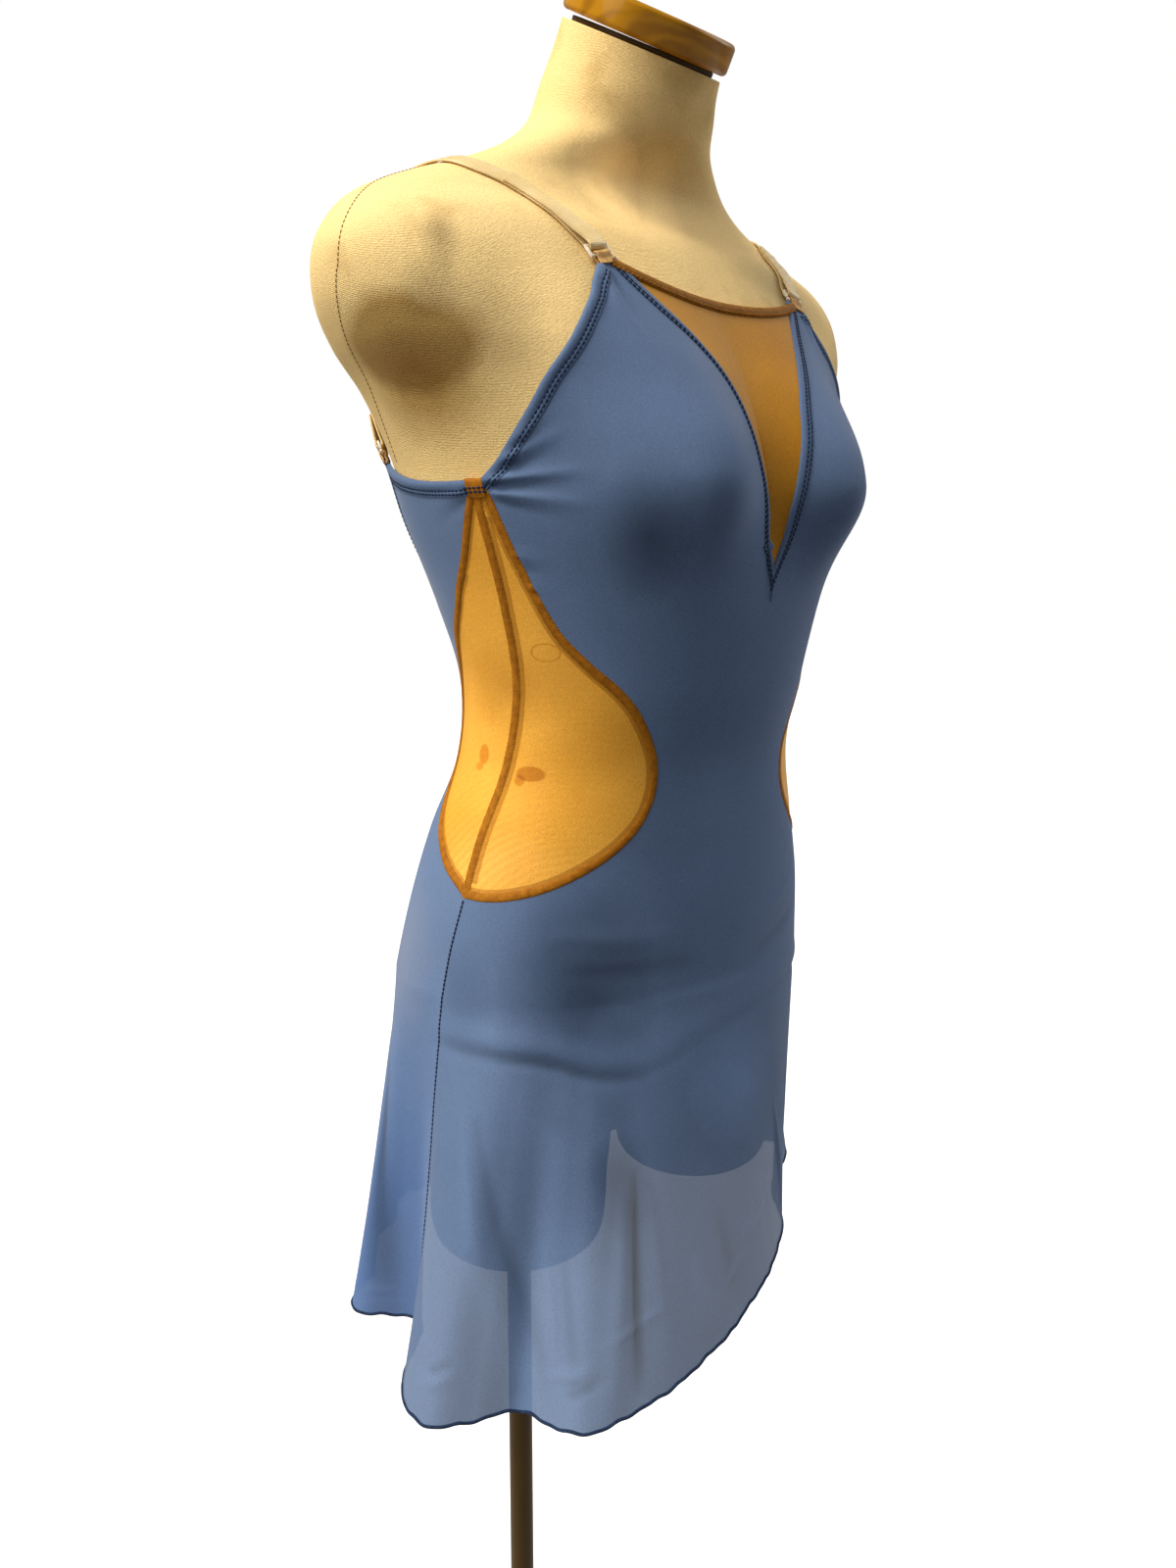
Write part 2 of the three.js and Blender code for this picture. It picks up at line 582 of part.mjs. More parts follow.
function formGeometry() {
  const ring = (height) => Array.from({ length: grid.figureColumns }, (_, j) =>
    figurePoint((j * 360) / grid.figureColumns, height));
  const heights = Array.from({ length: grid.figureRows + 1 }, (_, k) =>
    between(figureRows, (k / grid.figureRows) * (figureRows.length - 1), 'height'));
  const torso = solidOf(loft(heights.map(ring)));
  const thighRing = (row, side) => Array.from({ length: grid.thighColumns }, (_, j) => {
    const angle = (j * 2 * Math.PI) / grid.thighColumns;
    const x = side * row.x + row.half * Math.sin(angle);
    return new THREE.Vector3(x, row.y - row.depth * Math.cos(angle), waistHeight + row.height);
  });
  const thigh = (side) => solidOf(loft(thighRows.map((row) => thighRing(row, side))));
  return geometryFrom(torso.add(thigh(-1)).add(thigh(1)));
}

function turned(profile, segments) {
  const points = profile.map(([r, z]) => new THREE.Vector2(r, z));
  return new THREE.LatheGeometry(points, segments).rotateX(Math.PI / 2);
}

// A flat disc with rounded rims, from its middle below to its middle above.
function disc(radius, thickness, rounding, segments, rimSteps = 1) {
  const quarter = Array.from({ length: rimSteps + 1 }, (_, i) => (i * Math.PI) / 2 / rimSteps);
  const inner = radius - rounding;
  const under = quarter.map((angle) => [
    inner + rounding * Math.sin(angle),
    rounding - rounding * Math.cos(angle),
  ]);
  const over = quarter.map((angle) => [
    inner + rounding * Math.cos(angle),
    thickness - rounding + rounding * Math.sin(angle),
  ]);
  return turned([[0, 0], ...under, ...over, [0, thickness]], segments);
}

function onNeck(geometry, distance) {
  const top = figureRows.at(-1);
  const tilt = radians(top.tilt);
  geometry.rotateX(tilt);
  const z = waistHeight + top.height + distance * Math.cos(tilt);
  return geometry.translate(0, top.middle - distance * Math.sin(tilt), z);
}

function poleGeometry() {
  const bottom = base.thickness + socket.floor + 2 * seamGap;
  const top = waistHeight + thighRows[0].height - flange.thickness - 2 * seamGap;
  const geometry = new THREE.CylinderGeometry(pole.radius, pole.radius, top - bottom, roundSides.small);
  return geometry.rotateX(Math.PI / 2).translate(pole.x, pole.y, (top + bottom) / 2);
}

function socketGeometry() {
  const bore = pole.radius + seamGap;
  const rim = [[bore, socket.height], [bore, socket.floor], [0, socket.floor]];
  const profile = [[0, 0], [socket.radius, 0], [socket.radius - socket.taper, socket.height], ...rim];
  return turned(profile, roundSides.small).translate(pole.x, pole.y, base.thickness + seamGap);
}

function flangeGeometry() {
  const top = waistHeight + thighRows[0].height - seamGap;
  const geometry = disc(flange.radius, flange.thickness, flange.rounding, roundSides.small);
  return geometry.translate(pole.x, pole.y, top - flange.thickness);
}

function capGeometry() {
  return onNeck(disc(cap.radius, cap.thickness, cap.rounding, roundSides.cap, 3), cap.gap);
}

function neckPlateGeometry() {
  const thickness = cap.gap - 2 * seamGap;
  return onNeck(disc(neckPlate.radius, thickness, neckPlate.rounding, roundSides.small), seamGap);
}

const group = new THREE.Group();
function add(name, geometry, color, roughness = 0.8, metalness = 0) {
  const material = new THREE.MeshStandardMaterial({ color, roughness, metalness });
  const mesh = new THREE.Mesh(geometry, material);
  mesh.name = name;
  group.add(mesh);
}

add('front_panel', wall(frontPanel(), panelLift), colours.blue);
add('back_panel', wall(backPanel(), panelLift), colours.blue);
add('neck_mesh', wall(neckMesh(), meshLift), colours.nude);
add('neck_binding', wall(neckBinding(), bindingLift), colours.binding);
add('brief_front', wall(briefPanel(-brief.side, brief.side), briefLift, onFigure), colours.lining);
add('brief_back', wall(briefPanel(brief.side + 0.2, 359.8 - brief.side), briefLift, onFigure), colours.lining);
add('brief_gusset', gussetGeometry(), colours.lining);
for (const [name, side] of [['right', -1], ['left', 1]]) {
  add(`side_mesh_front_${name}`, wall(sideMeshFront(side), meshLift), colours.nude);
  add(`side_mesh_back_${name}`, wall(sideMeshBack(side), meshLift), colours.nude);
  const placed = (geometry) => (side > 0 ? geometry : otherSide(geometry));
  add(`strap_${name}`, placed(band(strapPath(), strap.width, strap.thickness)), colours.satin, 0.4);
  for (const end of ['front', 'back']) {
    add(`hook_${end}_${name}`, placed(hookGeometry(end)), colours.clear, 0.1);
    add(`loop_${end}_${name}`, placed(band(loopPath(end), loop.width, loop.thickness)), colours.nude);
  }
}
add('form', formGeometry(), colours.linen, 0.9);
add('neck_plate', neckPlateGeometry(), colours.iron, 0.6, 0.4);
add('neck_cap', capGeometry(), colours.amber, 0.3);
add('pole_flange', flangeGeometry(), colours.iron, 0.6, 0.5);
add('pole', poleGeometry(), colours.brown, 0.5, 0.2);
add('pole_socket', socketGeometry(), colours.iron, 0.6, 0.5);
add('base', disc(base.radius, base.thickness, base.bevel, roundSides.base), colours.iron, 0.6, 0.5);

export default group;
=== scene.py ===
import math
import bmesh
import bpy
import numpy as np
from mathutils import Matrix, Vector


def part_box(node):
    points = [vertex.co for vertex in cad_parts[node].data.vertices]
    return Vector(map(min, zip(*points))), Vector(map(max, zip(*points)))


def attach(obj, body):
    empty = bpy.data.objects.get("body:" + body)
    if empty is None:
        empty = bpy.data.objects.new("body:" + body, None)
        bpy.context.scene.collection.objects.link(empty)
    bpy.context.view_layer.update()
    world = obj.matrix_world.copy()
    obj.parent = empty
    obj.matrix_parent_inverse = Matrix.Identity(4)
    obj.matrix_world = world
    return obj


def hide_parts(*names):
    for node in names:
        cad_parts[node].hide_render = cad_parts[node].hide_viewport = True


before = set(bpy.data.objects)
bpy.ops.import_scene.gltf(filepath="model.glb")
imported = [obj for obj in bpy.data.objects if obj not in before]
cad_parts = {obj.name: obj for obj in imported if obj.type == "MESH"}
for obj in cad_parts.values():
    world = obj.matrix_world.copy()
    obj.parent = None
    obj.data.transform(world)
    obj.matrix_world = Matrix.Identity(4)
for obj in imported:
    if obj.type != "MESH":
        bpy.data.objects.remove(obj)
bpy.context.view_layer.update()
print("frame is in")

mm = 0.001  # tables and sizes of the garment are in mm, Blender's own in metres

# camera at the photograph's angle
camera = {
    "place": (-0.5865, -0.5624, 1.1352), "turn": -44.68, "tip": -9.98, "lens": 28.09, "sensor": 36, "near": 0.05,
}


def linked(name, data):
    made = bpy.data.objects.new(name, data)
    bpy.context.scene.collection.objects.link(made)
    return made


eye = linked("camera", bpy.data.cameras.new("camera"))
eye.data.sensor_width = camera["sensor"]
eye.data.lens = camera["lens"]
eye.data.clip_start = camera["near"]
eye.location = camera["place"]
eye.rotation_euler = (math.radians(90 + camera["tip"]), 0, math.radians(camera["turn"]))
bpy.context.scene.camera = eye
bpy.context.scene.view_settings.view_transform = "Standard"


# reading tables
def table(columns, rows):
    names = columns.split()
    return {name: np.array([row[i] for row in rows], float) for i, name in enumerate(names)}


def smooth(values, place, ring=False):
    # Catmull-Rom through a column, at a place counted in rows
    last = len(values) - 1
    place = np.asarray(place, float)
    step = np.floor(np.clip(place, 0, last if ring else last - 1e-9)).astype(int)
    t = place - step
    at = (lambda k: values[k % len(values)]) if ring else (lambda k: values[np.clip(k, 0, last)])
    a, b, c, d = at(step - 1), at(step), at(step + 1), at(step + 2)
    bend, turn = 2 * a - 5 * b + 4 * c - d, 3 * b - a - 3 * c + d
    return 0.5 * (2 * b + (c - a) * t + bend * t ** 2 + turn * t ** 3)


def cornered(values, places, corners=()):
    # the same, with the corners at some rows kept sharp
    stops = [0, *corners, len(values) - 1]
    out = np.empty(len(places))
    for first, last in zip(stops, stops[1:]):
        inside = (places >= first) & (places <= last)
        out[inside] = smooth(values[first:last + 1], places[inside] - first)
    return out


# the figure under the cloth: half width, reach to front and back, middle, roundness, tilt
figureRows = table("height half front back middle power tilt", [
    (-257, 92, 18, 26, 14, 2.2, 0), (-252, 124, 44, 58, 13, 2.2, 0), (-240, 140, 66, 84, 12, 2.2, 0),
    (-220, 149, 81, 102, 11, 2.2, 0), (-192, 152, 89, 111, 11, 2.2, 0), (-144, 150, 96, 109, 10, 2.2, 0),
    (-96, 146, 98, 99, 7, 2.2, 0), (-48, 134, 95, 87, 4, 2.2, 0), (0, 118, 91, 77, -3, 2.2, 0),
    (48, 117, 98, 82, -8, 2.2, 0), (96, 129, 106, 97, -7, 2.2, 0), (144, 145, 109, 110, -3, 2.2, 0),
    (180, 156, 105, 116, -1, 2.2, 0), (215, 172, 98, 116, 3, 2.3, 0), (240, 189, 93, 110, 8, 2.5, 0),
    (262, 200, 88, 99, 12, 2.6, 0), (285, 203, 80, 84, 15, 2.6, 0), (303, 195, 72, 74, 18, 2.5, 0),
    (318, 178, 62, 66, 23, 2.4, 0), (330, 153, 55, 59, 24, 2.3, 0), (340, 127, 51, 54, 22, 2.2, 0),
    (350, 102, 50, 51, 17, 2.1, 1), (362, 79, 50, 50, 10, 2.1, 4), (376, 63, 51, 51, 3, 2.0, 9),
    (395, 57, 51, 51, -4, 2.0, 16), (409.5, 53, 50, 50, -10, 2.0, 23), (422.5, 51, 50, 50, -15.5, 2.0, 28.5),
])
bust = {"reach": 36.5, "x": 68, "height": 166, "across": 49, "up": 71, "down": 42}
thighRows = table("height x y half depth", [
    (-326, 88, 8, 34, 34), (-323, 88, 8, 47, 47), (-315, 88, 8, 55, 55), (-300, 88, 8, 58, 58),
    (-275, 87, 8, 58, 59), (-250, 86, 9, 60, 62), (-225, 84, 10, 59, 62), (-205, 82, 11, 54, 58),
])
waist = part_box("form")[0][2] / mm - thighRows["height"][0]  # the waist's height over the floor

figurePlaces = np.linspace(0, len(figureRows["height"]) - 1, 4001)
figureHeights = smooth(figureRows["height"], figurePlaces)


def figurePoint(turn, height):
    turn, height = np.broadcast_arrays(np.asarray(turn, float), np.asarray(height, float))
    place = np.interp(height, figureHeights, figurePlaces)
    row = {name: smooth(values, place) for name, values in figureRows.items()}
    sine, cosine = np.sin(np.radians(turn)), np.cos(np.radians(turn))
    x = row["half"] * np.sign(sine) * np.abs(sine) ** (2 / row["power"])
    reach = np.where(cosine > 0, row["front"], row["back"])
    y = -reach * np.sign(cosine) * np.abs(cosine) ** (2 / row["power"])
    spread = np.where(height > bust["height"], bust["up"], bust["down"])
    away = ((np.abs(x) - bust["x"]) / bust["across"]) ** 2 + ((height - bust["height"]) / spread) ** 2
    y = y - bust["reach"] * np.exp(-away) * np.sqrt(np.clip(cosine, 0, 1))
    tilt = np.radians(row["tilt"])
    level = np.clip(height, figureRows["height"][0], figureRows["height"][-1])
    return np.stack([x, row["middle"] + y * np.cos(tilt), waist + level + y * np.sin(tilt)], -1)


def unit(vectors):
    return vectors / np.maximum(np.linalg.norm(vectors, axis=-1, keepdims=True), 1e-9)


def figureNormal(turn, height):
    across = figurePoint(turn + 0.1, height) - figurePoint(turn - 0.1, height)
    up = figurePoint(turn, height + 0.3) - figurePoint(turn, height - 0.3)
    return unit(np.cross(across, up))


def onFigure(turn, height, lift):
    return figurePoint(turn, height) + np.asarray(lift)[..., None] * figureNormal(turn, height)


# how the cloth lies: on the figure to the hip, then hanging to the hem
skirt = {"hip": -140, "hem": -360, "proud": 2.6, "easeFrom": -77, "flare": 1.2}
lifts = {"lining": 2.0, "mesh": 2.9, "panel": 3.4, "fold": 3.5}
hemRows = table("angle reach height", [
    (-180, 170, -362), (-168, 163, -362), (-156, 178, -362), (-144, 168, -362), (-132, 182, -362),
    (-122, 173, -362), (-112, 192, -361), (-107, 190, -361), (-102, 170, -360), (-97, 163, -360),
    (-92, 174, -360), (-86, 200, -361), (-80, 219, -361), (-74, 226, -360), (-69, 213, -359),
    (-63, 197, -357), (-57, 205, -356), (-51, 212, -354), (-43, 196, -351), (-34, 177, -348),
    (-26, 160, -346), (-19, 149, -345), (-12, 139, -343), (-5, 132, -341), (3, 126, -340),
    (13, 120, -340), (26, 116, -341), (40, 117, -344), (52, 120, -349), (62, 125, -353),
    (71, 133, -357), (79, 149, -360), (85, 176, -361), (90, 201, -362), (95, 206, -362),
    (101, 190, -362), (106, 180, -362), (112, 186, -362), (120, 175, -362), (132, 187, -362),
    (144, 170, -362), (156, 181, -362), (168, 166, -362),
])

perDegree = 2.25  # mm of cloth to one degree of turn, near enough for a crease

# creases in the cloth from one place to another: trough (-) or ridge (+) depth and half width in mm;
# a crease fades at both ends, and with start = 1 it is sharpest at its first end
creases = table("turnA heightA turnB heightB depth width start", [
    # gathered at the wearer's right underarm
    (-72.5, 160, -48, 160, -1.4, 2.8, 1), (-72, 163, -46, 167, 3.6, 2.7, 1),
    (-72, 156.5, -47, 149, 3.2, 2.6, 1), (-71, 153, -50, 139, -1.3, 2.6, 1),
    (-66, 173, -48, 189, 2.6, 3.0, 1), (-65, 169.5, -51, 178, -1.2, 2.6, 1),
    (-61, 183, -48, 201, 1.8, 3.2, 1), (-69.5, 123, -60, 120, 1.2, 2.4, 1),
    (-69, 118, -61, 113, -0.9, 2.0, 1), (-68.5, 106, -60, 102, 1.0, 2.2, 1),
    (-67, 98, -60, 93, 0.6, 2.2, 1),
    # the same at the left underarm
    (72.5, 160, 51, 158, -1.3, 2.9, 1), (72, 163, 50, 168, 3.2, 2.8, 1), (72, 156, 51, 147, 2.8, 2.7, 1),
    (70, 152, 53, 138, -1.2, 2.7, 1), (66, 172, 52, 187, 1.8, 3.7, 1), (69, 121, 60, 117, 1.1, 2.4, 1),
    # soft pleats down from the strap points
    (-20.5, 272, -22.5, 226, 2.0, 2.4, 1), (-22.5, 268, -27, 236, -0.8, 2.4, 1),
    (-19, 268, -19.5, 240, -0.7, 2.0, 1), (20.5, 272, 22, 230, 1.8, 2.4, 1),
    (22.5, 268, 27, 240, -0.8, 2.2, 1),
    # the back, under its top edge
    (-81, 158, -96, 150, 1.1, 3.4, 1), (-81, 153, -94, 140, -0.8, 2.8, 1), (81, 158, 97, 149, 1.2, 3.4, 1),
    (81, 153, 95, 139, -0.8, 2.8, 1), (-150, 78, -168, 60, 0.9, 4.0, 0), (150, 78, 167, 59, 0.9, 4.0, 0),
    # drag lines across the front of the hips
    (-52, -96, -12, -106, 0.8, 6.5, 0), (-48, -118, -6, -126, -0.7, 6.0, 0), (4, -112, 40, -88, 0.9, 6.0, 0),
    (8, -132, 46, -108, -0.7, 5.0, 0), (-30, -140, 14, -150, 0.6, 5.5, 0),
    # the skirt in front: a narrow dark fold, a long slanting one and small creases at the hem
    (-27, -236, -27, -356, -2.8, 1.9, 0), (-29.5, -238, -31.5, -362, 2.0, 3.4, 0),
    (-24.5, -240, -22, -362, 1.2, 3.0, 0), (-67, -200, -42, -350, -1.1, 4.4, 0),
    (-72, -200, -48, -350, 2.4, 6.4, 0), (-46, -270, -40, -350, 1.0, 2.6, 0),
    (-41, -276, -36.5, -346, -0.8, 2.6, 0), (-43.5, -338, -34, -330, 1.3, 1.9, 0),
    (-39, -345, -32, -336, -1.1, 1.8, 0), (-69.5, -344, -60, -335, 1.3, 1.9, 0),
    (-67, -336, -61, -329, -1.0, 1.8, 0), (-34, -322, -22, -316, 1.0, 1.8, 0),
    (-16, -300, -14, -352, 1.4, 3.4, 0), (-9, -282, -7, -350, -0.9, 3.8, 0),
    (-5, -318, 6, -310, 1.1, 1.9, 0), (-12, -334, -3, -326, 1.0, 1.8, 0), (18, -250, 22, -350, 2.0, 3.4, 0),
    (34, -232, 40, -352, -2.2, 3.6, 0), (52, -240, 58, -354, 1.8, 3.6, 0),
    # the skirt behind: valleys between its folds and a pressed line over the hem
    (-112, -190, -103, -350, -2.2, 7.0, 0), (-119, -180, -117, -352, 2.0, 5.0, 0),
    (-113, -347.5, -99, -341, 0.7, 1.0, 0), (-135, -210, -138, -352, 1.8, 4.5, 0),
    (-150, -200, -150, -350, -2.2, 5.0, 0), (-172, -215, -170, -352, 1.8, 5.0, 0),
    (128, -200, 122, -352, -2.4, 5.0, 0), (138, -210, 142, -352, 1.8, 4.5, 0),
    (160, -205, 158, -350, -2.0, 5.0, 0), (150, -344, 166, -340, 0.6, 1.0, 0),
])


# the long crease across the front, where the skirt leaves the hips and starts to hang
hipCrease = table("turn height deep", [
    (-90, -164, 0), (-80, -163, 1.2), (-68, -164, 2.0), (-54, -167, 2.3), (-46, -171, 2.3),
    (-38, -177, 2.0), (-31, -181, 1.4), (-25, -183, 0.7), (-19, -181, 0.35), (-11, -175, 0.3),
    (1, -170, 0.35), (14, -165, 0.4), (29, -160, 0.7), (50, -163, 1.4), (68, -166, 1.4), (88, -168, 0.6),
    (100, -172, 0),
])
hipRoll = {"ridge": 0.8, "ridgeAt": 7, "ridgeWide": 8, "trough": 0.7, "troughAt": -3, "troughWide": 3.5}
deepest = {"onLining": -1.3, "hanging": -6.0, "from": -190}  # above that height the lining lies close below


def relief(turn, height):
    # how far the creases lift or sink the cloth
    turn, height = np.broadcast_arrays(np.asarray(turn, float), np.asarray(height, float))
    over = height - np.interp(turn, hipCrease["turn"], hipCrease["height"])
    ridge = hipRoll["ridge"] * np.exp(-((over - hipRoll["ridgeAt"]) / hipRoll["ridgeWide"]) ** 2)
    trough = hipRoll["trough"] * np.exp(-((over - hipRoll["troughAt"]) / hipRoll["troughWide"]) ** 2)
    total = np.interp(turn, hipCrease["turn"], hipCrease["deep"], 0, 0) * (ridge - trough)
    for k in range(len(creases["depth"])):
        c = {name: values[k] for name, values in creases.items()}
        dx, dy = (c["turnB"] - c["turnA"]) * perDegree, c["heightB"] - c["heightA"]
        px, py = (turn - c["turnA"]) * perDegree, height - c["heightA"]
        length = math.hypot(dx, dy)
        along = (px * dx + py * dy) / length ** 2
        away = np.abs(px * dy - py * dx) / length
        t = np.clip(along, 0, 1)
        gathered, pressed = (1 - t) ** 1.2 * np.minimum(1, t * 8 + 0.45), np.sin(np.pi * t) ** 0.7
        fade = np.where(c["start"] > 0, gathered, pressed)
        inside = (along > -0.15) & (along < 1)
        end = np.where(along < 0, np.exp(-(along * length / c["width"]) ** 2), 1)
        width = c["width"] * (0.7 + 0.6 * t)
        total += np.where(inside, c["depth"] * fade * end * np.exp(-(away / width) ** 2), 0)
    return np.maximum(total, np.where(height > deepest["from"], deepest["onLining"], deepest["hanging"]))


def onCloth(turn, height, lift):
    turn, height, lift = np.broadcast_arrays(*(np.asarray(v, float) for v in (turn, height, lift)))
    eased = np.clip((skirt["easeFrom"] - height) / (skirt["easeFrom"] - skirt["hip"]), 0, 1)
    proud = lift + skirt["proud"] * eased ** 2 + relief(turn, height)
    point = onFigure(turn, np.maximum(height, skirt["hip"]), proud)
    drop = np.clip((skirt["hip"] - height) / (skirt["hip"] - skirt["hem"]), 0, None)
    angle = np.degrees(np.arctan2(point[..., 0], -point[..., 1]))
    place = np.interp(angle, [*hemRows["angle"], 180], np.arange(len(hemRows["angle"]) + 1))
    reach = smooth(hemRows["reach"], place, ring=True) + proud - lifts["panel"] - skirt["proud"]
    hem = waist + smooth(hemRows["height"], place, ring=True)
    here = np.hypot(point[..., 0], point[..., 1])
    out = 1 + (reach / here - 1) * drop ** skirt["flare"]
    hung = np.stack([point[..., 0] * out, point[..., 1] * out, point[..., 2] + (hem - point[..., 2]) * drop], -1)
    return np.where((height < skirt["hip"])[..., None], hung, point)


def slopes(turn, height, lift):
    # how the cloth runs over 0.4 degrees of turn and over 1 mm of height
    overTurn = onCloth(turn + 0.2, height, lift) - onCloth(turn - 0.2, height, lift)
    overHeight = onCloth(turn, height + 0.5, lift) - onCloth(turn, height - 0.5, lift)
    return overTurn, overHeight


def beside(turn, height, distance):
    # a line on the cloth moved over its surface, plus towards the larger turn of a line that runs up
    point = onCloth(turn, height, lifts["panel"])
    perTurn, perHeight = slopes(turn, height, lifts["panel"])
    perTurn = perTurn / 0.4
    across = np.cross(unit(np.gradient(point, axis=0)), unit(np.cross(perTurn, perHeight)))
    dot = lambda a, b: (a * b).sum(-1)
    tt, th, hh = dot(perTurn, perTurn), dot(perTurn, perHeight), dot(perHeight, perHeight)
    at, ah = dot(perTurn, across) * distance, dot(perHeight, across) * distance
    base = tt * hh - th ** 2
    return turn + (at * hh - ah * th) / base, height + (ah * tt - at * th) / base


# making meshes
def layOut(mesh, name, uvs):
    corners = np.empty(len(mesh.loops), int)
    mesh.loops.foreach_get("vertex_index", corners)
    mesh.uv_layers.new(name=name).data.foreach_set("uv", np.asarray(uvs)[corners].ravel())


def newPiece(name, points, faces, material, slot, uvs=None, merge=0.00002, shade=None):
    mesh = bpy.data.meshes.new(name)
    mesh.from_pydata([tuple(p) for p in np.asarray(points) * mm], [], [tuple(map(int, f)) for f in faces])
    if uvs is not None:
        layOut(mesh, "cloth", uvs)
    if shade is not None:  # how dark the cloth lies in its creases, read by its material
        layOut(mesh, "crease", np.stack([shade, shade], -1))
    bm = bmesh.new()
    bm.from_mesh(mesh)
    if merge:
        bmesh.ops.remove_doubles(bm, verts=bm.verts, dist=merge)
        bmesh.ops.dissolve_degenerate(bm, edges=bm.edges, dist=1e-7)
    for face in bm.faces:
        face.smooth = True
    bm.to_mesh(mesh)
    bm.free()
    piece = linked(name, mesh)
    mesh.materials.append(material)
    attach(piece, "root")
    return piece


def gridFaces(rows, columns, start=0, flip=False, ring=False):
    faces = []
    for k in range(rows - 1):
        for j in range(columns if ring else columns - 1):
            a, b = start + k * columns + j, start + k * columns + (j + 1) % columns
            face = (a, b, b + columns, a + columns)
            faces.append(face[::-1] if flip else face)
    return faces


def pairs(a, b):
    # two values side by side for each point of a piece
    return np.stack(np.broadcast_arrays(a, b), -1).reshape(-1, 2)


# painted shade in the troughs of the creases and painted light on their ridges, multiplied into the cloth's
# colour
creaseShade = {"trough": 0.26, "ridge": 0.05, "darkest": 0.5, "lightest": 1.15}


def clothFromGrids(name, grids, lift, material, slot, place=onCloth):
    # each grid is turn and height by row and column
    points, faces, uvs, shade, start = [], [], [], [], 0
    for turn, height in grids:
        rising = turn[len(turn) // 2, -1] > turn[len(turn) // 2, 0]
        points.append(place(turn, height, lift).reshape(-1, 3))
        uvs.append(pairs(turn * perDegree * mm, height * mm))
        depth = relief(turn, height).ravel()
        tone = np.where(depth < 0, 1 + creaseShade["trough"] * depth, 1 + creaseShade["ridge"] * depth)
        shade.append(np.clip(tone, creaseShade["darkest"], creaseShade["lightest"]))
        faces += gridFaces(*turn.shape, start=start, flip=not rising)
        start += turn.size
    points, uvs, shade = (np.concatenate(values) for values in (points, uvs, shade))
    return newPiece(name, points, faces, material, slot, uvs, shade=shade)


def sweep(points, across, away, section, closed=False):
    # a rounded or flat section carried along a line
    section = np.asarray(section, float)
    rings = points[:, None] + across[:, None] * section[None, :, :1] + away[:, None] * section[None, :, 1:]
    count = len(section)
    faces = gridFaces(len(points), count, ring=True)
    if closed:
        last = (len(points) - 1) * count
        faces += [(last + j, last + (j + 1) % count, (j + 1) % count, j) for j in range(count)]
    else:
        faces += [tuple(range(count))[::-1], tuple((len(points) - 1) * count + j for j in range(count))]
    return rings.reshape(-1, 3), faces


def roundSection(radius, count=8):
    angles = [2 * math.pi * k / count for k in range(count)]
    return [(radius * math.cos(angle), radius * math.sin(angle)) for angle in angles]


def columnsAt(at, lengths, values):
    return np.stack([np.interp(at, lengths, column) for column in values.T], -1)


def evenly(points, step, *others):
    # the same line with points at even steps, and whatever belongs to them
    lengths = np.concatenate([[0], np.cumsum(np.linalg.norm(np.diff(points, axis=0), axis=1))])
    count = max(int(lengths[-1] / step), 2)
    at = np.linspace(0, lengths[-1], count + 1)
    read = lambda values: (columnsAt if values.ndim > 1 else np.interp)(at, lengths, values)
    return [read(points), *(read(np.asarray(o)) for o in others)]


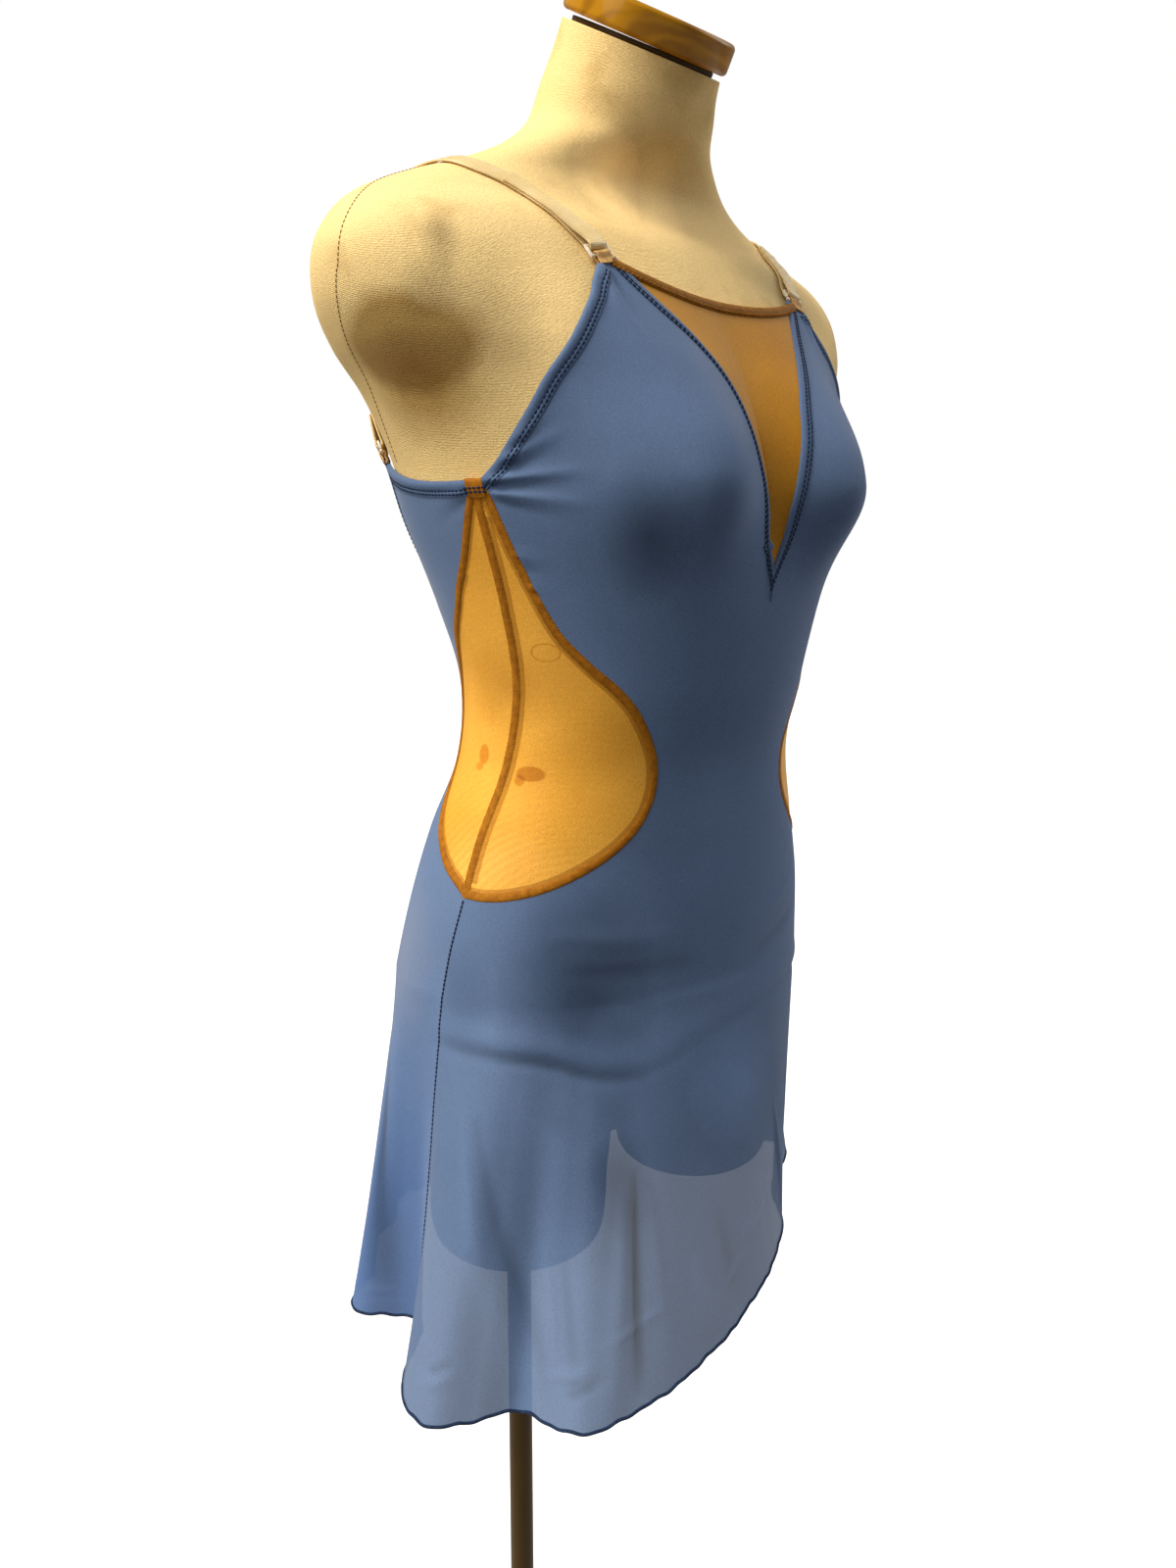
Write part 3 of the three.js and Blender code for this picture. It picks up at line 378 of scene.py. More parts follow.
# materials
class Shader:
    def __init__(self, name, **sockets):
        self.material = bpy.data.materials.new(name)
        self.material.use_nodes = True
        self.tree = self.material.node_tree
        self.main = self.tree.nodes["Principled BSDF"]
        self.set(self.main, sockets)

    def set(self, node, sockets):
        for name, value in sockets.items():
            socket = node.inputs[name.replace("_", " ")]
            if isinstance(value, bpy.types.NodeSocket):
                self.tree.links.new(value, socket)
            elif isinstance(value, tuple) and len(value) == 3 and socket.type == "RGBA":
                socket.default_value = (*value, 1)
            else:
                socket.default_value = value

    def node(self, kind, out=0, settings=None, **sockets):
        made = self.tree.nodes.new("ShaderNode" + kind)
        for name, value in (settings or {}).items():
            setattr(made, name, value)
        self.set(made, sockets)
        return made.outputs[out]

    def coordinates(self, kind="Object"):
        return self.tree.nodes.new("ShaderNodeTexCoord").outputs[kind]

    def place(self, scale=(1, 1, 1), kind="Object"):
        return self.node("Mapping", Vector=self.coordinates(kind), Scale=scale)

    def noise(self, scale, detail=2.0, stretch=(1, 1, 1), kind="Object"):
        return self.node("TexNoise", Vector=self.place(stretch, kind), Scale=scale, Detail=detail)

    def ramp(self, value, low, high, fromValue=0.35, toValue=0.65):
        made = self.tree.nodes.new("ShaderNodeValToRGB")
        for stop, position, color in zip(made.color_ramp.elements, (fromValue, toValue), (low, high)):
            stop.position = position
            stop.color = (*color, 1)
        self.tree.links.new(value, made.inputs["Fac"])
        return made.outputs["Color"]

    def lines(self, scale, direction, distortion=0.6, detail=2.0, kind="Object", stretch=(1, 1, 1)):
        bands = {"wave_type": "BANDS", "bands_direction": direction}
        return self.node("TexWave", 1, bands, Vector=self.place(stretch, kind), Scale=scale,
                         Distortion=distortion, Detail=detail, Detail_Scale=3.0)

    def mixed(self, share, a, b, way="MIX"):
        made = self.tree.nodes.new("ShaderNodeMix")
        made.data_type = "RGBA"
        made.blend_type = way
        for index, value in ((0, share), (6, a), (7, b)):
            if isinstance(value, bpy.types.NodeSocket):
                self.tree.links.new(value, made.inputs[index])
            elif index:
                made.inputs[index].default_value = (*value, 1)
            else:
                made.inputs[0].default_value = value
        return made.outputs[2]

    def tinted(self, color, by):
        return self.mixed(1.0, color, by, "MULTIPLY")

    def worked(self, way, a, b=0.0):
        made = self.tree.nodes.new("ShaderNodeMath")
        made.operation = way
        for index, value in ((0, a), (1, b)):
            if isinstance(value, bpy.types.NodeSocket):
                self.tree.links.new(value, made.inputs[index])
            else:
                made.inputs[index].default_value = value
        return made.outputs[0]

    def near(self, x, y, z, wide, deep, tall):
        # 0 at a place in mm and 1 at its reach along x, y and z
        scale = (1000 / wide, 1000 / deep, 1000 / tall)
        moved = self.node("Mapping", Vector=self.coordinates(), Scale=scale,
                          Location=(-x / wide, -y / deep, -z / tall))
        return self.node("VectorMath", 1, {"operation": "LENGTH"}, Vector=moved)

    def marked(self, color, marks):
        # soft marks in a colour, each with a slightly ragged edge
        for x, y, z, wide, deep, tall, start, *tone in marks:
            away = self.near(x, y, z, wide, deep, tall)
            ragged = self.worked("ADD", away, self.worked("MULTIPLY", self.noise(40, 4), 0.3))
            color = self.tinted(color, self.ramp(ragged, tuple(tone), (1, 1, 1), start, 1.0))
        return color

    def ringed(self, color, ring):
        # the outline of a ring, its line from one share of its radius to another
        off = self.worked("SUBTRACT", self.near(*ring["place"], *ring["reach"]), 1.0)
        return self.tinted(color, self.ramp(self.worked("ABSOLUTE", off), ring["tone"], (1, 1, 1), *ring["line"]))

    def finished(self, color, height, strength, distance):
        # the material, with its colour and the small relief of its surface
        relieved = self.node("Bump", Strength=strength, Distance=distance, Height=height)
        self.set(self.main, {"Normal": relieved, **({} if color is None else {"Base_Color": color})})
        return self.material


# painted shade and painted light in the blue cloth, in front and on the back. Each row of these tables is the
# place of a soft mark and its reach, all in mm, the share of its reach where the edge starts, and what the colour
# is multiplied by
panelPaintedLightAndShade = [
    (-92, -110, 1152, 36, 34, 58, 0.1, 0.38, 0.39, 0.40),
    (-20, -100, 985, 50, 60, 60, 0.2, 1.06, 1.06, 1.06),
    (-106, -72, 885, 62, 60, 104, 0.25, 0.45, 0.46, 0.49),
    (-115, -94, 780, 40, 46, 84, 0.2, 0.60, 0.62, 0.64),
    (-105, -102, 776, 25, 40, 42, 0.4, 0.62, 0.66, 0.70),
    (-70, -105, 1240, 64, 56, 62, 0.2, 0.85, 0.85, 0.86),
    (-147, -14, 880, 20, 26, 46, 0.2, 0.70, 0.72, 0.74),
    (-60, -100, 985, 60, 60, 60, 0.2, 0.92, 0.91, 0.90), (5, -100, 810, 62, 50, 52, 0.2, 1.40, 1.41, 1.44),
]
# painted light on the back, along its lit left edge and over the hip
backPaintedLight = [
    (-150, 50, 900, 32, 54, 84, 0.1, 1.5, 1.24, 1.04), (-152, 100, 850, 30, 60, 60, 0.1, 1.3, 1.1, 0.98),
    (-110, 40, 1110, 40, 60, 60, 0.2, 1.28, 1.12, 1.02), (40, 112, 920, 90, 50, 60, 0.1, 1.2, 1.1, 1.0),
]


def blueKnit(name, light, dark, alpha, fade=None, marks=(), creased=True):
    cloth = Shader(name, Roughness=0.78, Sheen_Weight=0.22, Sheen_Roughness=0.3, Sheen_Tint=(0.9, 0.92, 0.96),
                   Specular_IOR_Level=0.15, Alpha=alpha)
    tone = cloth.ramp(cloth.noise(9, 3), dark, light, 0.3, 0.72)
    if fade:  # the skirt hangs in thinner light towards the hem
        height = cloth.node("SeparateXYZ", 2, Vector=cloth.place())
        share = cloth.node("MapRange", Value=height, From_Min=fade["to"] * mm, From_Max=fade["from"] * mm)
        tone = cloth.tinted(tone, cloth.ramp(share, fade["tone"], (1, 1, 1), 0.0, 1.0))
    tone = cloth.marked(tone, marks)
    if creased:
        # painted shade and light of the creases, read from the mesh's crease layer
        shade = cloth.node("UVMap", 0, {"uv_map": "crease"})
        tone = cloth.tinted(tone, cloth.node("SeparateXYZ", 0, Vector=shade))
    yarn = cloth.ramp(cloth.noise(900, 2, (1, 1, 2.2)), (0.84, 0.84, 0.86), (1.10, 1.10, 1.08), 0.3, 0.7)
    color = cloth.tinted(tone, yarn)
    knit = cloth.worked("ADD", cloth.lines(1250, "Z", 1.2), cloth.worked("MULTIPLY", cloth.noise(1400, 2), 0.8))
    return cloth.finished(color, knit, 0.25, 0.00025)


# stains in the side inserts, a dark flake with its tail and a small spot, with a stretch of painted shade and a
# stretch of painted light
meshStainsAndPaintedLight = [
    (-113, -37, 1017, 11, 12, 6.0, 0.85, 0.68, 0.50, 0.12),
    (-114, -30, 1012, 7, 7, 7, 0.85, 0.72, 0.54, 0.16), (-114, -33, 1006, 4, 5, 8, 0.8, 0.72, 0.54, 0.16),
    (-120, -2, 1025.5, 5, 6, 8, 0.8, 0.76, 0.58, 0.24), (-120.5, 1, 1018, 4, 5, 4, 0.7, 0.82, 0.66, 0.36),
    (-116, -25, 1068, 44, 56, 36, 0.1, 0.66, 0.60, 0.44),
    (-128, -20, 962, 50, 66, 32, 0.2, 1.12, 1.16, 1.8),
]


ringMark = {
    "place": (-113.5, -51, 1088.5), "reach": (9.6, 9, 5.2), "tone": (0.80, 0.68, 0.42), "line": (0.04, 0.10),
}


def nudeMesh(name, dark, light, alpha, marks=()):
    net = Shader(name, Roughness=0.6, Alpha=alpha, Specular_IOR_Level=0.15,
                 Sheen_Weight=0.08, Sheen_Roughness=0.4, Sheen_Tint=(1, 0.7, 0.3))
    tone = net.ramp(net.noise(14, 3), dark, light, 0.35, 0.65)
    yarn = net.ramp(net.noise(1100, 1), (0.88, 0.87, 0.84), (1.08, 1.08, 1.08), 0.35, 0.65)
    color = net.tinted(tone, yarn)
    if marks:  # watered arcs in the double layer of net and cover, a ring mark, and the stains and painted light of the inserts
        middle = net.node("Mapping", Vector=net.coordinates(), Location=(0.10, 0.06, -0.905))
        arcs = net.node("TexWave", 1, {"wave_type": "RINGS", "rings_direction": "SPHERICAL"}, Distortion=1.5,
                        Detail=1.0, Scale=75, Vector=middle)
        low = net.ramp(net.near(-110, 0, 955, 70, 80, 60), (0.93, 0.90, 0.84), (1, 1, 1), 0.3, 1.0)
        watered = net.mixed(net.ramp(arcs, (0, 0, 0), (1, 1, 1), 0.35, 0.7), low, (1.02, 1.02, 1.02))
        color = net.ringed(net.marked(net.tinted(color, watered), marks), ringMark)
    return net.finished(color, net.noise(1500, 1), 0.2, 0.0002)


def spunYarn(name, dark, light):
    # brown serging, binding and seams, the cover's thread and the nude elastic
    yarn = Shader(name, Roughness=0.7, Specular_IOR_Level=0.12)
    color = yarn.ramp(yarn.noise(260, 2), dark, light, 0.3, 0.7)
    return yarn.finished(color, yarn.noise(1500, 2), 0.4, 0.0003)


def seamShadow():
    # seam allowance that shows through the net
    shade = Shader("seam allowance under net", Roughness=0.8, Specular_IOR_Level=0.1, Alpha=0.34)
    color = shade.ramp(shade.noise(320, 2), (0.30, 0.11, 0.006), (0.42, 0.17, 0.012), 0.3, 0.7)
    return shade.finished(color, shade.noise(1500, 2), 0.3, 0.0002)


def navyThread():
    thread = Shader("navy thread", Roughness=0.7, Specular_IOR_Level=0.1)
    color = thread.ramp(thread.noise(500, 1), (0.006, 0.012, 0.032), (0.016, 0.03, 0.07), 0.3, 0.7)
    return thread.finished(color, thread.lines(1800, "DIAGONAL", 0.5), 0.3, 0.0001)


def satinElastic():
    satin = Shader("satin elastic", Roughness=0.4, Specular_IOR_Level=0.5, Sheen_Weight=0.3,
                   Sheen_Tint=(1, 0.9, 0.6))
    tone = satin.ramp(satin.noise(60, 2), (0.70, 0.51, 0.21), (0.80, 0.61, 0.32), 0.3, 0.7)
    rib = satin.lines(430, "X", 0.4, 1.0, kind="UV")
    color = satin.tinted(tone, satin.ramp(rib, (0.68, 0.65, 0.58), (1.10, 1.09, 1.06), 0.2, 0.8))
    return satin.finished(color, satin.noise(1100, 2), 0.4, 0.0003)


def clearPlastic():
    plastic = Shader("clear plastic", Base_Color=(0.95, 0.88, 0.72), Roughness=0.07, Alpha=0.55,
                     Specular_IOR_Level=0.9, Coat_Weight=0.6)
    return plastic.finished(None, plastic.noise(220, 1), 0.05, 0.0002)


# painted shadow under both shoulder ends and painted light on the neck and chest, with darker patches and stains
# in the cover
coverStainsAndPaintedLight = [
    (-180, -12, 1252, 66, 60, 34, 0.74, 0.56, 0.47, 0.32),
    (-170, -10, 1230, 56, 58, 40, 0.4, 0.56, 0.48, 0.34),
    (-177, -33, 1277, 22, 24, 22, 0.25, 0.60, 0.60, 0.60),
    (-174, -39, 1304, 14, 17, 28, 0.25, 0.60, 0.59, 0.58),
    (-167, -42, 1322, 10, 12, 12, 0.3, 0.84, 0.82, 0.78),
    (-129, -71, 1262, 38, 36, 66, 0.1, 1.40, 1.38, 1.42), (-112, -36, 1338, 9, 9, 7, 0.3, 0.90, 0.88, 0.84),
    (-49, -30, 1356, 9, 8, 8, 0.3, 0.88, 0.85, 0.78), (-44, -29, 1358, 30, 32, 36, 0.1, 2.1, 2.05, 2.15),
    (-8, -36, 1350, 34, 36, 36, 0.1, 1.5, 1.48, 1.55), (-12, -60, 1412, 34, 14, 18, 0.2, 0.80, 0.76, 0.66),
    (30, -52, 1404, 30, 18, 26, 0.2, 0.78, 0.75, 0.66), (-26, -52, 1424, 10, 8, 6, 0.3, 0.78, 0.72, 0.60),
    (8, -48, 1372, 12, 10, 9, 0.3, 0.86, 0.83, 0.76), (92, -60, 1308, 72, 44, 40, 0.3, 0.64, 0.65, 0.68),
    (176, -8, 1238, 42, 48, 28, 0.6, 0.58, 0.49, 0.34), (150, 60, 1300, 26, 18, 20, 0.3, 0.84, 0.82, 0.76),
    (-90, 70, 1320, 30, 20, 18, 0.3, 0.86, 0.84, 0.78),
]


def linenJersey():
    # cream jersey over the form, with its fine cross rib, stains, painted shadow and painted light
    jersey = Shader("cream jersey", Roughness=0.85, Specular_IOR_Level=0.15,
                    Sheen_Weight=0.12, Sheen_Roughness=0.5, Sheen_Tint=(1, 0.88, 0.62))
    tone = jersey.ramp(jersey.noise(7, 4), (0.82, 0.57, 0.23), (0.92, 0.68, 0.31), 0.3, 0.7)
    rib = jersey.lines(360, "Y", 0.5, 1.0, kind="UV")
    lined = jersey.tinted(tone, jersey.ramp(rib, (0.955, 0.945, 0.92), (1.02, 1.02, 1.02), 0.1, 0.9))
    fuzz = jersey.ramp(jersey.noise(620, 3, (1, 1, 2.4)), (0.9, 0.89, 0.86), (1.07, 1.07, 1.07), 0.32, 0.68)
    blot = jersey.worked("MULTIPLY", jersey.noise(11, 5), jersey.noise(34, 4))
    stains = jersey.ramp(blot, (1, 1, 1), (0.78, 0.74, 0.66), 0.32, 0.48)
    color = jersey.marked(jersey.tinted(jersey.tinted(lined, fuzz), stains), coverStainsAndPaintedLight)
    nap = jersey.worked("MULTIPLY", jersey.noise(620, 4, (1, 1, 2.0)), 2.4)
    return jersey.finished(color, jersey.worked("ADD", jersey.worked("MULTIPLY", rib, 0.5), nap), 0.45, 0.0005)


def amberWood():
    wood = Shader("amber lacquered wood", Roughness=0.35, Specular_IOR_Level=0.15, Specular_Tint=(1.0, 0.75, 0.4),
                  Coat_Weight=0.12, Coat_Roughness=0.1, Coat_Tint=(1.0, 0.8, 0.5))
    rings = wood.lines(7, "Z", 9.0, 2.0, stretch=(1, 1, 3))
    tone = wood.ramp(rings, (0.27, 0.118, 0.002), (0.39, 0.185, 0.005), 0.1, 0.9)
    cloud = wood.ramp(wood.noise(16, 2), (0.72, 0.68, 0.6), (1.3, 1.25, 1.1), 0.3, 0.7)
    return wood.finished(wood.tinted(tone, cloud), wood.noise(80, 2), 0.05, 0.0003)


def paintedMetal(name, dark, light):
    metal = Shader(name, Roughness=0.5, Specular_IOR_Level=0.1)
    color = metal.ramp(metal.noise(45, 3, (1, 1, 0.25)), dark, light, 0.3, 0.7)
    return metal.finished(color, metal.noise(500, 2), 0.15, 0.0002)


materials = {
    "panel": blueKnit("blue mesh knit", (0.117, 0.178, 0.306), (0.102, 0.156, 0.274), 0.958,
                      {"from": 870, "to": 790, "tone": (0.81, 0.82, 0.83)}, panelPaintedLightAndShade),
    "backPanel": blueKnit("blue mesh knit behind", (0.130, 0.190, 0.316), (0.113, 0.167, 0.286), 0.985,
                          {"from": 900, "to": 740, "tone": (0.62, 0.76, 0.95)}, backPaintedLight),
    "lining": blueKnit("blue lining knit", (0.10, 0.15, 0.255), (0.085, 0.13, 0.23), 1.0),
    "liningStrip": blueKnit("blue lining strip", (0.10, 0.15, 0.255), (0.085, 0.13, 0.23), 1.0, creased=False),
    "fold": blueKnit("blue folded edge", (0.098, 0.150, 0.262), (0.082, 0.128, 0.230), 1.0, creased=False),
    "nude": nudeMesh("nude side mesh", (0.80, 0.37, 0.035), (0.92, 0.455, 0.055), 0.82, meshStainsAndPaintedLight),
    "nudeNeck": nudeMesh("nude neck mesh", (0.41, 0.172, 0.006), (0.50, 0.222, 0.011), 0.955),
    "allowance": seamShadow(),
    "brown": spunYarn("brown serging", (0.25, 0.082, 0.003), (0.38, 0.14, 0.006)),
    "binding": spunYarn("brown binding", (0.20, 0.075, 0.004), (0.30, 0.12, 0.008)),
    "thread": navyThread(),
    "satin": satinElastic(),
    "nudeElastic": spunYarn("nude elastic", (0.46, 0.24, 0.07), (0.66, 0.40, 0.15)),
    "clear": clearPlastic(),
    "jersey": linenJersey(),
    "wood": amberWood(),
    "pole": paintedMetal("brown pole", (0.034, 0.017, 0.002), (0.058, 0.030, 0.004)),
    "iron": paintedMetal("dark metal", (0.018, 0.016, 0.014), (0.035, 0.031, 0.027)),
    "coverThread": spunYarn("cover thread", (0.22, 0.12, 0.04), (0.34, 0.21, 0.08)),
}
print("materials are ready")

# the cut edges of the panels
frontRows = table("turn height innerHeight middle opening", [
    (84.5, -360, -360, 2, 0), (84.8, -325, -325, 2, 0), (85.2, -290, -290, 2, 0), (85.6, -250, -250, 2, 0),
    (86, -210, -210, 2, 0), (85.6, -175, -175, 2, 0), (85, -140, -140, 2, 0), (84, -112, -118, 2, 0),
    (82.8, -92, -103, 2, 0), (82, -78, -90, 2, 0), (73.7, -78.4, -80, 2, 0), (62.9, -75.3, -71, 2, 0),
    (51.3, -68, -61, 2, 0), (38.6, -54, -49, 2, 0), (30.2, -37, -35, 2, 0), (26.8, -18, -18, 2, 0),
    (27.7, 2, 0, 2, 0), (31.4, 18, 17, 2, 0), (38, 36.5, 34, 2, 0), (45, 50, 48, 2, 0),
    (53.1, 63, 62, 2, 0), (61.2, 80, 78, 2, 0), (66.4, 102, 95, 2, 0), (69.8, 124, 109, 2, 0),
    (71.6, 143, 131, 2.3, 2.6), (73, 157, 148, 2.3, 3.6), (74.7, 163, 160, 2.3, 4.5),
    (68.7, 172, 176, 2.4, 5.8), (62.6, 184, 191, 2.7, 6.7), (54.1, 200.6, 206, 2.8, 7.6),
    (46.5, 216, 221, 2.6, 9), (34.7, 236, 240, 1.7, 11), (26.4, 255, 257, 0.5, 13.6),
    (23.2, 266, 273.3, 0, 16.5), (20.9, 275, 279.6, 0, 17.6),
])
frontMarks = {"side": 9, "tip": 23, "underarm": 26, "top": 34}
backRows = table("turn height innerTurn innerHeight", [
    (82, -78, 180, -90), (90.4, -67, 180, -72), (98.5, -54, 180, -55), (108.3, -36, 180, -37),
    (115.5, -17, 180, -18), (118.8, 5, 180, 3), (118.3, 30, 180, 24), (114.8, 52, 180, 42),
    (108, 73, 180, 58), (103.6, 83.5, 171, 59.5), (98.6, 94, 162, 64), (94.5, 105.5, 154.5, 72.5),
    (90.3, 117, 148, 83), (84.9, 137, 137, 108), (80.4, 155, 128, 143), (79, 163, 122, 179),
])
backMarks = {"scoop": 8, "top": 15, "sag": 5}
legLine = table("turn height", [
    (0, -238), (7, -222), (15, -203), (24, -189), (34, -179), (48, -172), (66, -167), (88, -166),
    (108, -174), (128, -192), (148, -214), (164, -230), (180, -238),
])
sideSeam = {"foot": 82, "footHeight": -78, "top": 77, "topHeight": 163}
neckline = {"turn": 17.6, "height": 279.6, "sag": 12, "sagFrom": 24, "sagOver": 10}


def frontEdge(places, side):
    # outer and inner edge of one half of the front
    corners = (frontMarks["side"], frontMarks["underarm"])
    outer = cornered(frontRows["turn"], places, corners), cornered(frontRows["height"], places, corners)
    tip = (frontMarks["tip"],)
    opening = np.maximum(cornered(frontRows["opening"], places, tip), 0)
    turn = opening + side * cornered(frontRows["middle"], places, tip)
    return (outer[0] * side, outer[1]), (turn * side, cornered(frontRows["innerHeight"], places, tip))


def backEdge(places, side):
    corners = (backMarks["scoop"],)
    outer = cornered(backRows["turn"], places), cornered(backRows["height"], places)
    inner = cornered(backRows["innerTurn"], places, corners), cornered(backRows["innerHeight"], places, corners)
    return (outer[0] * side, outer[1]), (inner[0] * side, inner[1])


def legHeight(turn):
    place = np.interp(np.abs(turn), legLine["turn"], np.arange(len(legLine["turn"])))
    return smooth(legLine["height"], place)


def between(edgeA, edgeB, columns, sag=0):
    t = np.linspace(0, 1, columns + 1)
    turn = edgeA[0][:, None] * (1 - t) + edgeB[0][:, None] * t
    height = edgeA[1][:, None] * (1 - t) + edgeB[1][:, None] * t
    return turn, height - np.asarray(sag)[..., None] * 4 * t * (1 - t)


def steps(first, last, count):
    return np.linspace(first, last, int(round((last - first) * count)) + 1)


# rows of faces to each row of the tables, and columns across one half of a panel
grain = {"skirtRows": 13, "rows": 6, "columns": 130, "liningRows": 40}
skirtPlaces = steps(0, frontMarks["side"], grain["skirtRows"])
upperPlaces = steps(frontMarks["side"], frontMarks["top"], grain["rows"])
backPlaces = steps(0, backMarks["top"], grain["rows"])


def frontGrid(places, side):
    outer, inner = frontEdge(places, side)
    return between(inner, outer, grain["columns"])


def backGrid(side):
    # one half of the back above the foot of its side seam, with its top edge sagging
    sag = backMarks["sag"] * np.clip(backPlaces - backMarks["top"] + 1, 0, 1) ** 2
    return between(*backEdge(backPlaces, side), grain["columns"], sag)


def panels():
    whole = np.concatenate([skirtPlaces[:-1], upperPlaces])
    grids = [frontGrid(whole, side) for side in (-1, 1)]
    front = clothFromGrids("front_panel_cloth", grids, lifts["panel"], materials["panel"], "blue_mesh")
    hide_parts("front_panel")

    grids = []
    for side in (-1, 1):
        seam, _ = frontEdge(skirtPlaces, side)
        grids.append(between(seam, (np.full(len(skirtPlaces), 180.0 * side), seam[1]), grain["columns"]))
        grids.append(backGrid(side))
    back = clothFromGrids("back_panel_cloth", grids, lifts["panel"], materials["backPanel"], "blue_mesh")
    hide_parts("back_panel")
    return front, back


front, back = panels()
print("panels are cut")


# the lining takes a little less of the creases, and its front and back meet at this turn in the leg
liningFit = {"creased": 0.8, "legSeam": 87.0}


def onLining(turn, height, lift):
    return onFigure(turn, height, lift + relief(turn, height) * liningFit["creased"])


def toLegLine(grid, firstTurn, lastTurn):
    # the stretch of lining below a grid's first row
    turn, height = (values[0] for values in grid)
    down = np.linspace(0, 1, grain["liningRows"])[:, None]
    turns = np.linspace(firstTurn, lastTurn, len(turn))
    turn = turn + (turns - turn) * down[::-1]
    return turn, legHeight(turn) + (height - legHeight(turn)) * down


def linings():
    # the lining runs from the same edges down to the leg line, and lies on the figure all the way
    grids = {"front": [], "back": []}
    for side in (-1, 1):
        upper, seam = frontGrid(upperPlaces, side), liningFit["legSeam"] * side
        grids["front"] += [upper, toLegLine(upper, upper[0][0][0], seam)]
        upper = backGrid(side)
        grids["back"] += [upper, toLegLine(upper, seam, 180.0 * side)]
    made = []
    knit = materials["lining"]
    for name, halves in grids.items():
        piece = clothFromGrids(f"lining_{name}", halves, lifts["lining"], knit, "blue_lining", onLining)
        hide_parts(f"brief_{name}")
        made.append(piece)
    return made


liningFront, liningBack = linings()
print("lining is in")


def gusset():
    # the lining's strip under the seat, from the front leg line to the back one
    size = {"width": 34, "lift": 2.0, "under": -257, "heights": [-236, -240, -248, -253], "places": (-4, 14, 34)}
    side = lambda turn, heights: [onFigure(turn, height, size["lift"]) for height in heights]
    under = [np.array([0, y, waist + size["under"] - size["lift"]]) for y in size["places"]]
    line, = evenly(np.array([*side(0, size["heights"]), *under, *side(180, size["heights"][::-1])]), 3)
    across = np.linspace(-size["width"] / 2, size["width"] / 2, 11)
    points = line[:, None] + across[None, :, None] * np.array([1.0, 0, 0])
    faces = gridFaces(len(line), len(across))
    piece = newPiece("lining_gusset", points.reshape(-1, 3), faces, materials["liningStrip"], "blue_lining")
    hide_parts("brief_gusset")
    return piece


liningGusset = gusset()


# the nude mesh inserts at the sides and in the V
def seamLine(count, side):
    t = np.linspace(0, 1, count)
    height = sideSeam["footHeight"] + (sideSeam["topHeight"] - sideSeam["footHeight"]) * t
    turn = sideSeam["foot"] + (sideSeam["top"] - sideSeam["foot"]) * t
    return turn * side, height


meshColumns = {"front": 40, "back": 30, "neck": 48}


def meshInsert(node, grid, material):
    piece = clothFromGrids(f"{node}_cloth", [grid], lifts["mesh"], material, "nude_mesh")
    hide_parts(node)
    return piece


def sideMeshes():
    made = {}
    places = steps(frontMarks["side"], frontMarks["underarm"], grain["rows"])
    for name, side in (("right", -1), ("left", 1)):
        edge, _ = frontEdge(places, side)
        grid = between(edge, seamLine(len(places), side), meshColumns["front"])
        made["front", name] = meshInsert(f"side_mesh_front_{name}", grid, materials["nude"])
        edge, _ = backEdge(backPlaces, side)
        grid = between(seamLine(len(backPlaces), side), edge, meshColumns["back"])
        made["back", name] = meshInsert(f"side_mesh_back_{name}", grid, materials["nude"])
    return made


def neckMesh():
    places = steps(frontMarks["tip"], frontMarks["top"], grain["rows"])
    right, left = (frontEdge(places, side)[1] for side in (-1, 1))
    sag = neckline["sag"] * np.clip((places - neckline["sagFrom"]) / neckline["sagOver"], 0, 1) ** 2.2
    return meshInsert("neck_mesh", between(right, left, meshColumns["neck"], sag), materials["nudeNeck"])


sideMesh = sideMeshes()
neckCloth = neckMesh()
print("mesh inserts are in")


noRidge = {"pitch": 1, "depth": 0, "lean": 0, "tooth": 0}  # the threads that lie over an overlocked strip
noTaper = {"run": 1, "share": 1}  # the share of its width that a strip starts with, and how soon it is whole


# strips that follow an edge: their profile is distance from the edge and lift, in mm
def strip(name, turn, height, profile, material, slot, step=1.2, ridge=noRidge, limit=None, taper=noTaper):
    _, turn, height = evenly(onCloth(turn, height, lifts["panel"]), step, turn, height)
    lengths = np.arange(len(turn)) * step
    share = np.interp(lengths, (0, taper["run"]), (taper["share"], 1))
    wave = lambda lengths: np.sin(2 * np.pi * lengths / ridge["pitch"])
    points = []
    for k, (distance, lift) in enumerate(profile):
        tooth = 0 if 1 < k < len(profile) - 2 else ridge["tooth"] * np.sign(wave(lengths))
        movedTurn, movedHeight = beside(turn, height, distance * share + tooth)
        if limit is not None:  # strips that meet on a middle line end there
            movedTurn = np.maximum(movedTurn, limit) if profile[-1][0] > 0 else np.minimum(movedTurn, limit)
        extra = ridge["depth"] * wave(lengths + distance * ridge["lean"])
        points.append(onCloth(movedTurn, movedHeight, lift + extra))
    points = np.stack(points, 1)
    faces = gridFaces(*points.shape[:2], flip=profile[-1][0] <= profile[0][0])
    distances = np.array([distance for distance, _ in profile])
    uvs = pairs(distances[None, :] * mm, lengths[:, None] * mm)
    return newPiece(name, points.reshape(-1, 3), faces, material, slot, uvs)


